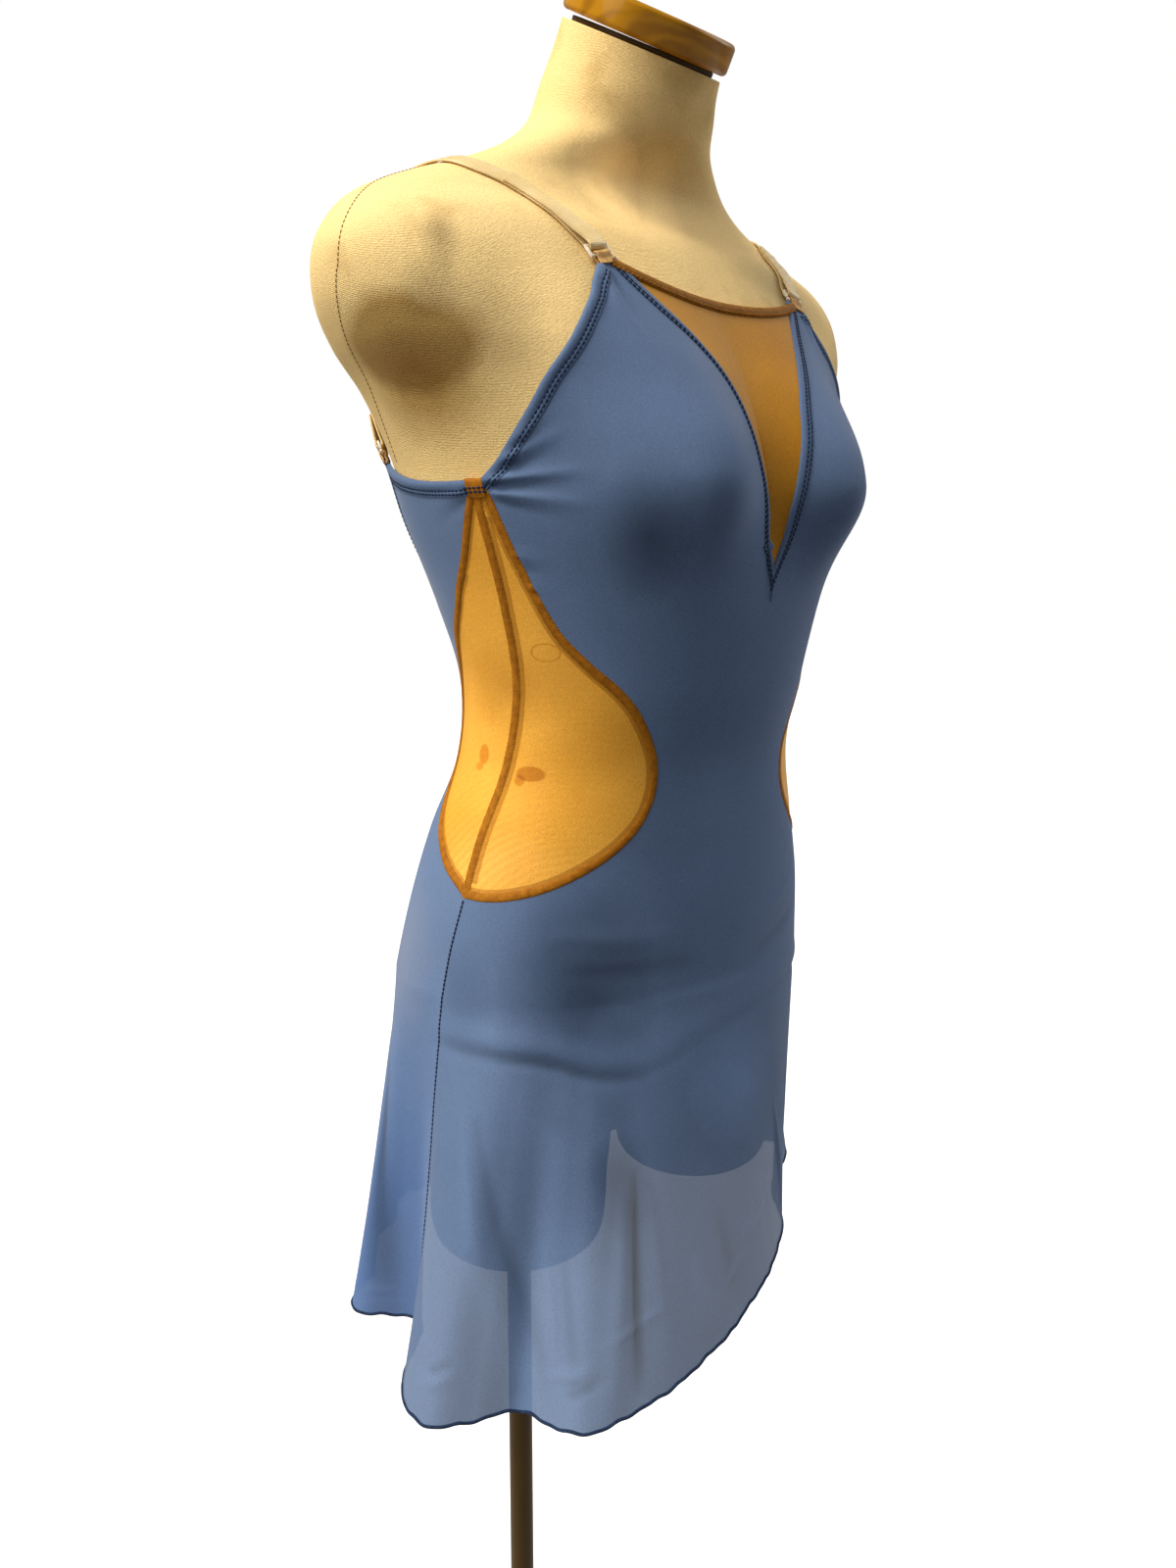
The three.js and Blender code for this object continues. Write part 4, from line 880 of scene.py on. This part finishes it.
def seamRow(turn, height, distance, lift, limit=None, taper=noTaper):
    # a stitched line's places, a little way in from an edge
    _, turn, height = evenly(onCloth(turn, height, lifts["panel"]), 1.0, turn, height)
    share = np.interp(np.arange(len(turn)), (0, taper["run"]), (taper["share"], 1))
    turn, height = beside(turn, height, distance * share)
    if limit is not None:
        keep = turn > limit if distance > 0 else turn < limit
        turn, height = turn[keep], height[keep]
    return onCloth(turn, height, lift), unit(np.cross(*slopes(turn, height, lift)))


stitch = {"length": 2.5, "gap": 0.5, "radius": 0.54}
# how thick a stitch is at some shares of its length
spindle = ((0, 0.35), (0.2, 1.0), (0.5, 1.15), (0.8, 1.0), (1, 0.35))


def stitches(name, rows, material, slot, size=stitch):
    # each stitch is a small spindle lying on the cloth
    points, faces, count, fine = [], [], 6, 0.25
    pitch, long = (int(round(length / fine)) for length in (size["length"] + size["gap"], size["length"]))
    for line, normals in rows:
        line, normals = evenly(line, fine, normals)
        for first in range(0, len(line) - long, pitch):
            at = [first + int(round(t * long)) for t, _ in spindle]
            along = unit(line[at[-1]] - line[at[0]])
            away = unit(normals[at[2]])
            across = np.cross(along, away)
            start = len(points)
            for k, (_, wide) in zip(at, spindle):
                for j in range(count):
                    angle = 2 * math.pi * j / count
                    outward = across * math.cos(angle) + away * math.sin(angle)
                    points.append(line[k] + size["radius"] * wide * outward)
            end = start + (len(spindle) - 1) * count
            faces += gridFaces(len(spindle), count, start=start, ring=True)
            faces += [tuple(range(start, start + count))[::-1], tuple(range(end, end + count))]
    return newPiece(name, points, faces, material, slot, merge=0)


# a folded and twice stitched edge: the cloth turns over, puffs and is pulled down at both stitch lines
foldProfile = [
    (-0.5, 1.2), (-0.75, 2.4), (-0.55, 3.5), (0.1, 4.25), (1.2, 4.65), (2.6, 4.6), (3.8, 4.2), (4.4, 3.85),
    (5.1, 4.15), (5.8, 4.2), (6.5, 3.85), (7.1, 4.0), (7.8, 3.95), (8.3, 3.3),
]
foldRows = {"near": 4.4, "far": 6.5, "lift": 4.0, "fine": 12}
# the V's folded edge stands a little into the opening, narrows to its tip and lies flatter
vProfile = [
    (-3.4, 1.8), (-3.8, 2.4), (-3.7, 3.2), (-3.0, 3.85), (-2.0, 4.15), (-0.6, 4.1), (0.5, 3.8), (0.9, 3.65),
    (1.5, 3.85), (2.3, 3.85), (3.0, 3.6), (3.6, 3.6), (4.2, 3.3),
]
vFold = {
    "rows": (0.9, 3.0), "lift": 3.85, "below": 12, "skip": 6, "lean": (4, 16), "taper": {"run": 46, "share": 0.5},
}


def towards(sign, profile):
    return [(sign * distance, lift) for distance, lift in profile]


def stitchedFold(name, turn, height, sign):
    edge = strip(name, turn, height, towards(sign, foldProfile), materials["fold"], "blue_mesh")
    return edge, [seamRow(turn, height, sign * foldRows[row], foldRows["lift"]) for row in ("near", "far")]


def vEdge(name, side):
    # the V, carried on past its tip so that the two sides meet
    tip, skip, (low, high) = frontMarks["tip"], vFold["skip"], vFold["lean"]
    _, (turn, height) = frontEdge(steps(tip, frontMarks["top"], foldRows["fine"]), side)
    middle = frontRows["middle"][tip]
    lean = (turn[high] - turn[low]) / (height[high] - height[low])
    below = np.linspace(-vFold["below"], 0, 12)
    turn = np.concatenate([middle + below * lean, turn[skip:]])
    height = np.concatenate([height[0] + below, height[skip:]])
    edge = strip(f"v_edge_{name}", turn, height, towards(side, vProfile), materials["fold"], "blue_mesh",
                 limit=middle, taper=vFold["taper"])
    seams = [seamRow(turn, height, side * row, vFold["lift"], middle, vFold["taper"]) for row in vFold["rows"]]
    return edge, seams


def foldedEdges():
    made, rows = {"front": [], "back": []}, []
    for name, side in (("right", -1), ("left", 1)):
        (turn, height), _ = frontEdge(steps(frontMarks["underarm"], frontMarks["top"], foldRows["fine"]), side)
        front = vEdge(name, side), stitchedFold(f"armhole_edge_{name}", turn, height, -side)
        # the back's top edge, from the underarm to the strap, and its scoop
        t, last = np.linspace(0, 1, 80), backMarks["top"]
        across = lambda start, end: backRows[start][last] * (1 - t) + backRows[end][last] * t
        turn = side * across("turn", "innerTurn")
        height = across("height", "innerHeight") - backMarks["sag"] * 4 * t * (1 - t)
        top = stitchedFold(f"back_top_edge_{name}", turn, height, side)
        _, (turn, height) = backEdge(steps(backMarks["scoop"], last, foldRows["fine"]), side)
        back = top, stitchedFold(f"scoop_edge_{name}", turn, height, -side)
        for half, edges in (("front", front), ("back", back)):
            for edge, seams in edges:
                made[half].append(edge)
                rows += seams
    return made, rows


folds, foldSeams = foldedEdges()
foldStitches = stitches("edge_stitching", foldSeams, materials["thread"], "blue_mesh")
print("edges are folded and stitched")

# overlocked brown seams round the inserts and down their middle
serging = {"pitch": 1.6, "depth": 0.16, "lean": 0.5, "tooth": 0.28, "step": 0.45, "fine": 20}
raisedSeam = [(0, 3.3), (0.4, 3.65), (1.3, 3.85), (2.6, 3.9), (3.7, 3.75), (4.6, 3.45), (5.2, 3.1)]
flatSeam = [(-2.8, 3.05), (-2.1, 3.4), (-1.1, 3.65), (0, 3.7), (1.1, 3.65), (2.1, 3.4), (2.8, 3.05)]
# what is left beside the seams under the net: where it starts and ends, and how high it lies
allowance = {"edge": (5.0, 7.4), "middle": (2.4, 6.4), "lift": 3.0, "crown": 3.02}


def sergedSeams():
    made = {}
    for name, side in (("right", -1), ("left", 1)):
        front, _ = frontEdge(steps(frontMarks["side"], frontMarks["underarm"], serging["fine"]), side)
        back, _ = backEdge(steps(0, backMarks["top"], serging["fine"]), side)
        middle = seamLine(200, side)
        parts = (
            ("seam_front", front, towards(side, raisedSeam)), ("seam_back", back, towards(-side, raisedSeam)),
            ("middle_seam", middle, flatSeam),
        )
        for part, edge, profile in parts:
            made[part, name] = strip(f"insert_{part}_{name}", *edge, profile, materials["brown"], "brown_binding",
                                     serging["step"], serging)
        short = [values[8:-16] for values in middle]
        under = (front, side, "edge"), (back, -side, "edge"), (short, -side, "middle")
        for k, (edge, sign, width) in enumerate(under):
            near, far = (sign * distance for distance in allowance[width])
            low = allowance["lift"]
            profile = [(near, low), ((near + far) / 2, allowance["crown"]), (far, low)]
            made["under", name, k] = strip(f"seam_allowance_{name}_{k}", *edge, profile, materials["allowance"],
                                           "brown_binding", 1.0)
    return made


serged = sergedSeams()
print("insert seams are overlocked")


# the folded brown binding along the neckline
bindingProfile = [
    (0.2, 1.6), (-0.5, 2.2), (-0.75, 3.2), (-0.4, 4.1), (0.5, 4.75), (2.0, 4.9), (3.6, 4.7), (4.6, 4.3),
    (5.2, 3.9), (5.8, 3.9), (6.3, 3.3), (6.3, 2.4),
]
bindingFold = {"row": 5.2, "rowLift": 4.2, "weave": {"pitch": 2.2, "depth": 0.05, "lean": 0.2, "tooth": 0}}


def neckBinding():
    t = np.linspace(0, 1, 160)
    turn = -neckline["turn"] + 2 * neckline["turn"] * t
    height = neckline["height"] - neckline["sag"] * 4 * t * (1 - t)
    piece = strip("neck_binding_fold", turn, height, bindingProfile, materials["binding"], "brown_binding", 1.0,
                  bindingFold["weave"])
    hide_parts("neck_binding")
    row = seamRow(turn, height, bindingFold["row"], bindingFold["rowLift"])
    thread = stitches("neck_binding_stitching", [row], materials["brown"], "brown_binding")
    return piece, thread


binding, bindingStitches = neckBinding()


# brown tabs bound over the underarm corners, with the stitch rows of the folded edges carried across them
tab = {
    "turn": 79.1, "wide": 5.2, "height": 163.6, "corner": 0.8,
    "seam": (80, 73), "seamHeight": 164.0, "seamLift": 5.0,
}
tabProfile = [(0.9, 1.0), (-0.6, 2.6), (-0.3, 4.4), (1.2, 5.0), (4.0, 4.9), (7.5, 4.8), (9.5, 4.2)]


def underarmTabs():
    made, seams = [], []
    down, lift = np.array(tabProfile).T
    t = np.linspace(0, 1, 14)[:, None]
    for name, side in (("right", -1), ("left", 1)):
        turn = side * (tab["turn"] - tab["wide"] * t)
        points = onCloth(turn, tab["height"] + tab["corner"] * np.abs(t - 0.5) - down, lift)
        faces = gridFaces(*points.shape[:2], flip=side > 0)
        points = points.reshape(-1, 3)
        made.append(newPiece(f"underarm_tab_{name}", points, faces, materials["brown"], "brown_binding"))
        for row in ("near", "far"):
            height = np.full(20, tab["seamHeight"] - foldRows[row])
            seams.append(seamRow(side * np.linspace(*tab["seam"], 20), height, 0, tab["seamLift"]))
    return made, stitches("underarm_stitching", seams, materials["thread"], "blue_mesh")


tabs, tabStitches = underarmTabs()


# the rolled hem and the side seams below the inserts; each of its waves has a height, a length and a start
roll = {"radius": 1.0, "step": 1.1, "sunk": 0.2, "waves": ((0.5, 4.1, 0), (0.35, 2.3, 1))}


def hemRoll():
    halves = []
    for side in (-1, 1):
        turn, _ = between(*frontEdge(np.zeros(1), side), 400)
        halves.append(turn[0][::-side])
    seamTurn = frontRows["turn"][0]
    turn = np.concatenate([halves[0], halves[1][1:], np.linspace(seamTurn, 360 - seamTurn, 900)[1:-1]])
    height = np.full(len(turn), frontRows["height"][0])
    line = onCloth(np.where(turn > 180, turn - 360, turn), height, lifts["panel"])
    line, = evenly(np.concatenate([line, line[:1]]), roll["step"])
    line = line[:-1]
    lengths = np.arange(len(line)) * roll["step"]
    line[:, 2] += sum(tall * np.sin(lengths / long + start) for tall, long, start in roll["waves"]) - roll["sunk"]
    along = unit(np.roll(line, -1, 0) - np.roll(line, 1, 0))
    across = unit(np.cross(along, np.array([0, 0, 1.0])))
    points, faces = sweep(line, across, np.cross(across, along), roundSection(roll["radius"]), closed=True)
    return newPiece("rolled_hem", points, faces, materials["thread"], "blue_mesh", merge=0)


sideStitch = {"length": 2.6, "gap": 0.2, "radius": 0.6, "lift": 0.1, "fine": 20}


def sideSeams():
    made = []
    for name, side in (("right", -1), ("left", 1)):
        (turn, height), _ = frontEdge(steps(0, frontMarks["side"], sideStitch["fine"]), side)
        line, = evenly(onCloth(turn, height, lifts["panel"]), 1.0)
        outward = unit(line - np.array([0, 0, 1]) * line[:, 2:] - np.array([0, 5.0, 0]))
        row = line + outward * sideStitch["lift"], outward
        made.append(stitches(f"side_seam_{name}", [row], materials["thread"], "blue_mesh", sideStitch))
    return made


hem = hemRoll()
seams = sideSeams()
print("hem and side seams are in")

# shoulder straps of ribbed satin elastic, folded back through a clear hook at each end
strap = {
    "width": 13, "thickness": 1.0, "step": 0.38, "lift": 1.3, "doubled": 2.65, "foldFront": 62, "foldBack": 22,
    "rib": {"pitch": 1.5, "depth": 0.13, "lean": 0.35}, "leaving": ((8, 0.6), (16, 0.2), (24, 0)),
}
loop = {"width": 11, "thickness": 0.8, "step": 0.5, "foot": 1.3, "tail": 3.5, "spread": 0.9, "sink": 1.6}
hook = {
    "lift": 3.3, "thickness": 1.6, "low": 3.1, "high": 11.3, "bar": 1.8, "width": 17.4, "slit": 0.8,
    "straight": 13, "gap": 0.3, "rounding": 0.45,
}
strapRoute = table("turn height", [
    (19.2, 277.5), (20.2, 288), (22.5, 295.5), (27.3, 307), (35.4, 319.7), (48, 328.3), (71, 336.5),
    (95, 338.5), (115, 334), (128, 326), (138, 314.5), (143, 302), (146, 282), (146, 262), (141, 240),
    (133.5, 215), (127, 195), (122, 179.4),
])
routePlaces = np.linspace(0, len(strapRoute["turn"]) - 1, 241)
routeTurn, routeHeight = smooth(strapRoute["turn"], routePlaces), smooth(strapRoute["height"], routePlaces)
routePoints = figurePoint(routeTurn, routeHeight)
routeLengths = np.concatenate([[0], np.cumsum(np.linalg.norm(np.diff(routePoints, axis=0), axis=1))])
routeLength = routeLengths[-1]


def routeFrame(distance):
    # origin, along, away and across at distances along the strap's way; it runs straight at the hooks
    distance = np.asarray(distance, float)
    first, last = hook["straight"], routeLength - hook["straight"]
    held = np.where(distance < first, first / 2, np.where(distance > last, routeLength - first / 2, distance))
    turn, height = np.interp(held, routeLengths, routeTurn), np.interp(held, routeLengths, routeHeight)
    before, origin, after = (columnsAt(held + way, routeLengths, routePoints) for way in (-6, 0, 6))
    away = figureNormal(turn, height)
    along = unit(after - before)
    along = unit(along - away * (along * away).sum(-1, keepdims=True))
    return origin + along * (distance - held)[:, None], along, away, np.cross(along, away)


def flatSection(width, thickness):
    half, thick, corner = width / 2, thickness / 2, width / 2 - 0.35
    under = [(x, -thick) for x in (-corner, -half / 2, 0, half / 2, corner)]
    over = [(x, thick) for x in (corner, half / 2, 0, -half / 2, -corner)]
    return [(-half, 0), *under, (half, 0), *over][::-1]


def mirrored(points, faces, side):
    # the parts of a strap are made on the left, and turned over for the right
    return points * np.array([side, 1, 1]), faces if side > 0 else [face[::-1] for face in faces]


def bandMesh(name, path, size, side, material, slot):
    section = flatSection(size["width"], size["thickness"])
    path, = evenly(np.array(path, float), size["step"])
    origin, along, away, across = routeFrame(path[:, 0])
    step = unit(np.gradient(path, axis=0))
    up = along * -step[:, 1:] + away * step[:, :1]
    points, faces = sweep(origin + away * path[:, 1:], across, up, section)
    places = np.arange(len(path))[:, None]
    wide, tall = np.array(section).T
    if "rib" in size:  # slanting ribs on both faces of the elastic
        rib = size["rib"]
        wave = np.sin(2 * np.pi * (places * size["step"] + wide[None, :] * rib["lean"]) / rib["pitch"])
        raised = np.sign(tall)[None, :, None] * wave[..., None] * rib["depth"]
        points = points + (up[:, None] * raised).reshape(-1, 3)
    ringSpan = 0.4 * mm  # length of texture from ring to ring
    uvs = pairs(places * ringSpan, wide[None, :] * mm)
    return newPiece(name, *mirrored(points, faces, side), material, slot, uvs, merge=0)


def halfTurn(distance, radius, bulge, count=14):
    angles = math.pi * (np.arange(count + 1) / count - 0.5)
    return [(distance + bulge * radius * math.cos(a), hook["lift"] + radius * math.sin(a)) for a in angles]


barReach = math.hypot(hook["bar"], hook["thickness"]) / 2 + hook["gap"]


def strapPath():
    around = barReach + strap["thickness"] / 2
    frontBar = hook["high"] - hook["bar"] / 2
    backBar = routeLength - frontBar
    low, high = hook["lift"] - around, hook["lift"] + around

    def layer(bar, way, flat, curved):
        # one layer of the strap as it leaves a bar and comes to lie flat
        return [(bar + way * distance, flat + (curved - flat) * share) for distance, share in strap["leaving"]]

    return [
        (frontBar + strap["foldFront"], strap["doubled"]), *layer(frontBar, 1, strap["doubled"], high)[::-1],
        *halfTurn(frontBar, around, -1)[::-1], *layer(frontBar, 1, strap["lift"], low),
        *layer(backBar, -1, strap["lift"], low)[::-1], *halfTurn(backBar, around, 1),
        layer(backBar, -1, strap["doubled"], high)[0], (backBar - strap["foldBack"], strap["doubled"]),
    ]


def loopPath(end):
    around = barReach + loop["thickness"] / 2
    foot, tail, middle = loop["foot"], loop["foot"] - loop["tail"], hook["lift"]
    path = [(tail, middle - loop["sink"]), (foot, middle - loop["spread"]),
            *halfTurn(hook["low"] + hook["bar"] / 2, around, 1),
            (foot, middle + loop["spread"]), (tail, middle + loop["spread"])]
    return path if end == "front" else [(routeLength - distance, lift) for distance, lift in path][::-1]


def hookMesh(name, end, side):
    # a flat ring with a slit beside its lower bar
    half, hole = hook["width"] / 2, hook["width"] / 2 - hook["bar"]
    low, high, slit = hook["low"], hook["high"], hook["low"] + hook["bar"] + hook["slit"]
    inLow, inHigh, middle = low + hook["bar"], high - hook["bar"], (low + high) / 2
    outline = [(-half, low), (half, low), (half, high), (-half, high), (-half, slit), (-hole, slit),
               (-hole, inHigh), (hole, inHigh), (hole, inLow), (-half, inLow)]
    atFront = end == "front"
    here = routeFrame(np.array([middle if atFront else routeLength - middle]))
    origin, along, away, _ = (values[0] for values in here)
    along = along * (1 if atFront else -1)
    across = np.cross(along, away)
    levels = [hook["lift"] + z for z in (-hook["thickness"] / 2, hook["thickness"] / 2)]
    rings = [[origin + across * x + along * (y - middle) + away * level for x, y in outline] for level in levels]
    count = len(outline)
    faces = [tuple(range(count))[::-1], tuple(range(count, 2 * count))]
    faces += [(j, (j + 1) % count, count + (j + 1) % count, count + j) for j in range(count)]
    points, faces = mirrored(np.array(rings).reshape(-1, 3), faces, side)
    piece = newPiece(name, points, faces, materials["clear"], "clear_plastic")
    rounding = piece.modifiers.new("rounding", "BEVEL")
    rounding.width = hook["rounding"] * mm
    rounding.segments = 3
    return piece


def straps():
    made = {}
    for name, side in (("right", -1), ("left", 1)):
        main = bandMesh(f"strap_{name}_elastic", strapPath(), strap, side, materials["satin"], "satin_elastic")
        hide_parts(f"strap_{name}")
        tapes = []
        for end in ("front", "back"):
            ring = hookMesh(f"hook_{end}_{name}_clear", end, side)
            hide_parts(f"hook_{end}_{name}")
            tape = bandMesh(f"loop_{end}_{name}_tape", loopPath(end), loop, side,
                            materials["nudeElastic"], "nude_elastic")
            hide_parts(f"loop_{end}_{name}")
            tapes.append(tape)
        made[name] = main, tapes
    return made


strapPieces = straps()
print("straps, hooks and loops are in")


# the jersey covered form with its two thigh ends
cover = {"rows": 300, "columns": 240, "thighRows": 60, "thighColumns": 96, "span": 400, "evened": 0.3}


def dressForm():
    places = np.linspace(0, len(figureRows["height"]) - 1, cover["rows"])
    heights = smooth(figureRows["height"], places)
    turns = np.linspace(-180, 180, cover["columns"] + 1)[:-1]
    torso = capped("form_cover", figurePoint(turns[None, :], heights[:, None]))
    for side in (-1, 1):
        at = np.linspace(0, len(thighRows["height"]) - 1, cover["thighRows"])
        row = {name: smooth(values, at)[:, None] for name, values in thighRows.items()}
        angle = np.radians(np.linspace(0, 360, cover["thighColumns"] + 1)[:-1])[None, :]
        x, y = side * row["x"] + row["half"] * np.sin(angle), row["y"] - row["depth"] * np.cos(angle)
        thigh = capped(f"thigh_end_{side}", np.stack([x, y, np.broadcast_to(waist + row["height"], x.shape)], -1))
        join = torso.modifiers.new("thigh", "BOOLEAN")
        join.operation = "UNION"
        join.object = thigh
        join.solver = "EXACT"
        bpy.context.view_layer.objects.active = torso
        bpy.ops.object.modifier_apply(modifier=join.name)
        bpy.data.objects.remove(thigh)
    for face in torso.data.polygons:
        face.use_smooth = True
    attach(torso, "root")
    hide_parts("form")
    return torso


def capped(name, rings):
    # a closed skin through rings, its texture laid out by the length round and up the cover
    count = rings.shape[1]
    up = np.concatenate([np.zeros((1, count)), np.cumsum(np.linalg.norm(np.diff(rings, axis=0), axis=2), axis=0)])
    up = up.mean(1, keepdims=True) * cover["evened"] + up * (1 - cover["evened"])
    uvs = pairs(np.linspace(-cover["span"], cover["span"], count), up) * mm
    uvs = np.concatenate([uvs, [[0, up[0].mean() * mm], [0, up[-1].mean() * mm]]])
    points = [*rings.reshape(-1, 3), rings[0].mean(0), rings[-1].mean(0)]
    faces = gridFaces(*rings.shape[:2], ring=True)
    low, high, top = len(points) - 2, len(points) - 1, (len(rings) - 1) * count
    faces += [(low, (j + 1) % count, j) for j in range(count)]
    faces += [(high, top + j, top + (j + 1) % count) for j in range(count)]
    mesh = bpy.data.meshes.new(name)
    mesh.from_pydata([tuple(p) for p in np.array(points) * mm], [], faces)
    layOut(mesh, "cloth", uvs)
    mesh.materials.append(materials["jersey"])
    return linked(name, mesh)


form = dressForm()
print("form is covered")


# seams of the cover: a ring of small stitches round each shoulder end
def coverSeams():
    route = table("turn height", [
        (-80, 336), (-82.5, 330), (-84, 320), (-85, 307), (-86.5, 295), (-88.7, 281), (-90.5, 268), (-93.3, 255),
        (-97, 242), (-101, 226), (-105, 208), (-108, 192), (-110, 176),
    ])
    rows = []
    for side in (1, -1):
        at = np.linspace(0, len(route["turn"]) - 1, 200)
        turn, height = smooth(route["turn"], at) * side, smooth(route["height"], at)
        rows.append((onFigure(turn, height, 0.0), figureNormal(turn, height)))
    size = {"length": 2.2, "gap": 0.6, "radius": 0.42}
    return stitches("cover_stitching", rows, materials["coverThread"], "form_linen", size)


coverSeams()


# turned parts: the wooden neck cap, its plate, the pole with its fittings and the base
stand = {
    "cap": {"radius": 52.5, "thickness": 17.5, "edge": 3.2, "lift": 3.9, "extraTilt": 1.2},
    "plate": {"radius": 45, "thickness": 2.8, "edge": 0.5, "lift": 0.3},
    "flange": {"radius": 21, "thickness": 5, "edge": 1, "under": 5.3},
    "pole": {"x": -86, "y": 10, "radius": 8, "low": 14.6, "under": 5.6, "rings": 40},
    "base": {"radius": 180, "thickness": 8, "edge": 2},
}
cupProfile = [(0, 0), (17, 0), (17, 0.6), (14.4, 41.4), (13.8, 42), (8.6, 42), (8.3, 41.6), (8.3, 6), (0, 6)]


def lathe(name, profile, segments, material, slot, node, place=(0, 0, 0), tilt=0):
    angle = np.linspace(0, 2 * math.pi, segments + 1)[:-1]
    radius, height = np.array(profile, float).T[..., None]
    x, y, z = np.broadcast_arrays(radius * np.cos(angle), radius * np.sin(angle), height)
    points = np.stack([x, y, z], -1).reshape(-1, 3)
    turnX = np.array([[1, 0, 0], [0, math.cos(tilt), -math.sin(tilt)], [0, math.sin(tilt), math.cos(tilt)]])
    faces = gridFaces(len(profile), segments, ring=True)
    piece = newPiece(name, points @ turnX.T + np.array(place), faces, materials[material], slot, merge=0.00001)
    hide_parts(node)


def rounded(size, count=8):
    # the profile of a round plate with rounded edges
    thickness, edge = size["thickness"], size["edge"]
    arc = np.linspace(0, math.pi / 2, count)
    inner = size["radius"] - edge
    flat = [(inner * t, 0) for t in np.linspace(0, 1, 10)]
    under = [(inner + edge * math.sin(a), edge - edge * math.cos(a)) for a in arc]
    over = [(inner + edge * math.cos(a), thickness - edge + edge * math.sin(a)) for a in arc]
    return flat + under + over + [(r, thickness) for r, _ in flat[::-1]]


def standParts():
    top = {name: values[-1] for name, values in figureRows.items()}
    tilt = math.radians(top["tilt"])
    onNeck = lambda d: (0, top["middle"] - d * math.sin(tilt), waist + top["height"] + d * math.cos(tilt))
    cap, plate, flange, pole, base = stand.values()
    capTilt = tilt + math.radians(cap["extraTilt"])
    lathe("cap_wood", rounded(cap), 128, "wood", "amber_wood", "neck_cap", onNeck(cap["lift"]), capTilt)
    # the plate is painted dark brown to stand for the shadow in the gap under the cap
    lathe("cap_plate", rounded(plate), 64, "pole", "dark_metal", "neck_plate", onNeck(plate["lift"]), tilt)
    at = lambda height: (pole["x"], pole["y"], height)
    thighEnd = waist + thighRows["height"][0]
    underFlange = at(thighEnd - flange["under"])
    lathe("flange_plate", rounded(flange), 64, "iron", "dark_metal", "pole_flange", underFlange)
    high = thighEnd - pole["under"]
    rise = np.linspace(pole["low"], high, pole["rings"])
    tube = [(0, pole["low"]), *[(pole["radius"], height) for height in rise], (0, high)]
    lathe("pole_tube", tube, 48, "pole", "brown_pole", "pole", at(0))
    lathe("pole_cup", cupProfile, 64, "iron", "dark_metal", "pole_socket", at(base["thickness"] + 0.3))
    lathe("base_plate", rounded(base), 160, "iron", "dark_metal", "base")


standParts()
print("stand is in")


# floor and light
lights = {
    "key": {"energy": 4.7, "soft": 38, "color": (1.0, 0.96, 0.88), "from": (-0.532, 0.216, 0.82)},
    "side": {"energy": 1.15, "soft": 30, "color": (1.0, 0.97, 0.92), "from": (-0.95, 0.04, 0.22)},
    "fill": {"energy": 1.2, "soft": 40, "color": (1.0, 1.0, 1.0), "from": (0.8, -0.35, 0.5)},
}
sky = {
    "low": (0.07, 0.07, 0.073, 1), "lowAt": 0.3, "high": (0.44, 0.44, 0.45, 1), "highAt": 0.9,
    "seen": (1, 1, 1, 1),
}
floorHalf = 9.0


def studio():
    mesh = bpy.data.meshes.new("floor")
    corners = [(x * floorHalf, y * floorHalf, 0) for x, y in ((-1, -1), (1, -1), (1, 1), (-1, 1))]
    mesh.from_pydata(corners, [], [(0, 1, 2, 3)])
    floor = linked("floor", mesh)
    mesh.materials.append(Shader("pale floor", Base_Color=(0.8, 0.8, 0.8), Roughness=0.9).material)
    floor.visible_diffuse = False

    for name, light in lights.items():
        sun = bpy.data.lights.new(name, "SUN")
        sun.energy = light["energy"]
        sun.angle = math.radians(light["soft"])
        sun.color = light["color"]
        linked(name, sun).rotation_euler = Vector(light["from"]).to_track_quat("Z", "Y").to_euler()

    world = bpy.data.worlds.new("studio")
    bpy.context.scene.world = world
    world.use_nodes = True
    nodes, links = world.node_tree.nodes, world.node_tree.links
    background = nodes["Background"]
    split = nodes.new("ShaderNodeSeparateXYZ")
    links.new(nodes.new("ShaderNodeTexCoord").outputs["Generated"], split.inputs[0])
    ramp = nodes.new("ShaderNodeValToRGB")
    for stop, end in zip(ramp.color_ramp.elements, ("low", "high")):
        stop.position = sky[end + "At"]
        stop.color = sky[end]
    shift = nodes.new("ShaderNodeMapRange")
    shift.inputs["From Min"].default_value = -1
    links.new(split.outputs["Z"], shift.inputs["Value"])
    links.new(shift.outputs["Result"], ramp.inputs["Fac"])
    seen = nodes.new("ShaderNodeMix")
    seen.data_type = "RGBA"
    links.new(nodes.new("ShaderNodeLightPath").outputs["Is Camera Ray"], seen.inputs[0])
    links.new(ramp.outputs["Color"], seen.inputs[6])
    seen.inputs[7].default_value = sky["seen"]
    links.new(seen.outputs[2], background.inputs["Color"])


studio()
bpy.context.view_layer.update()
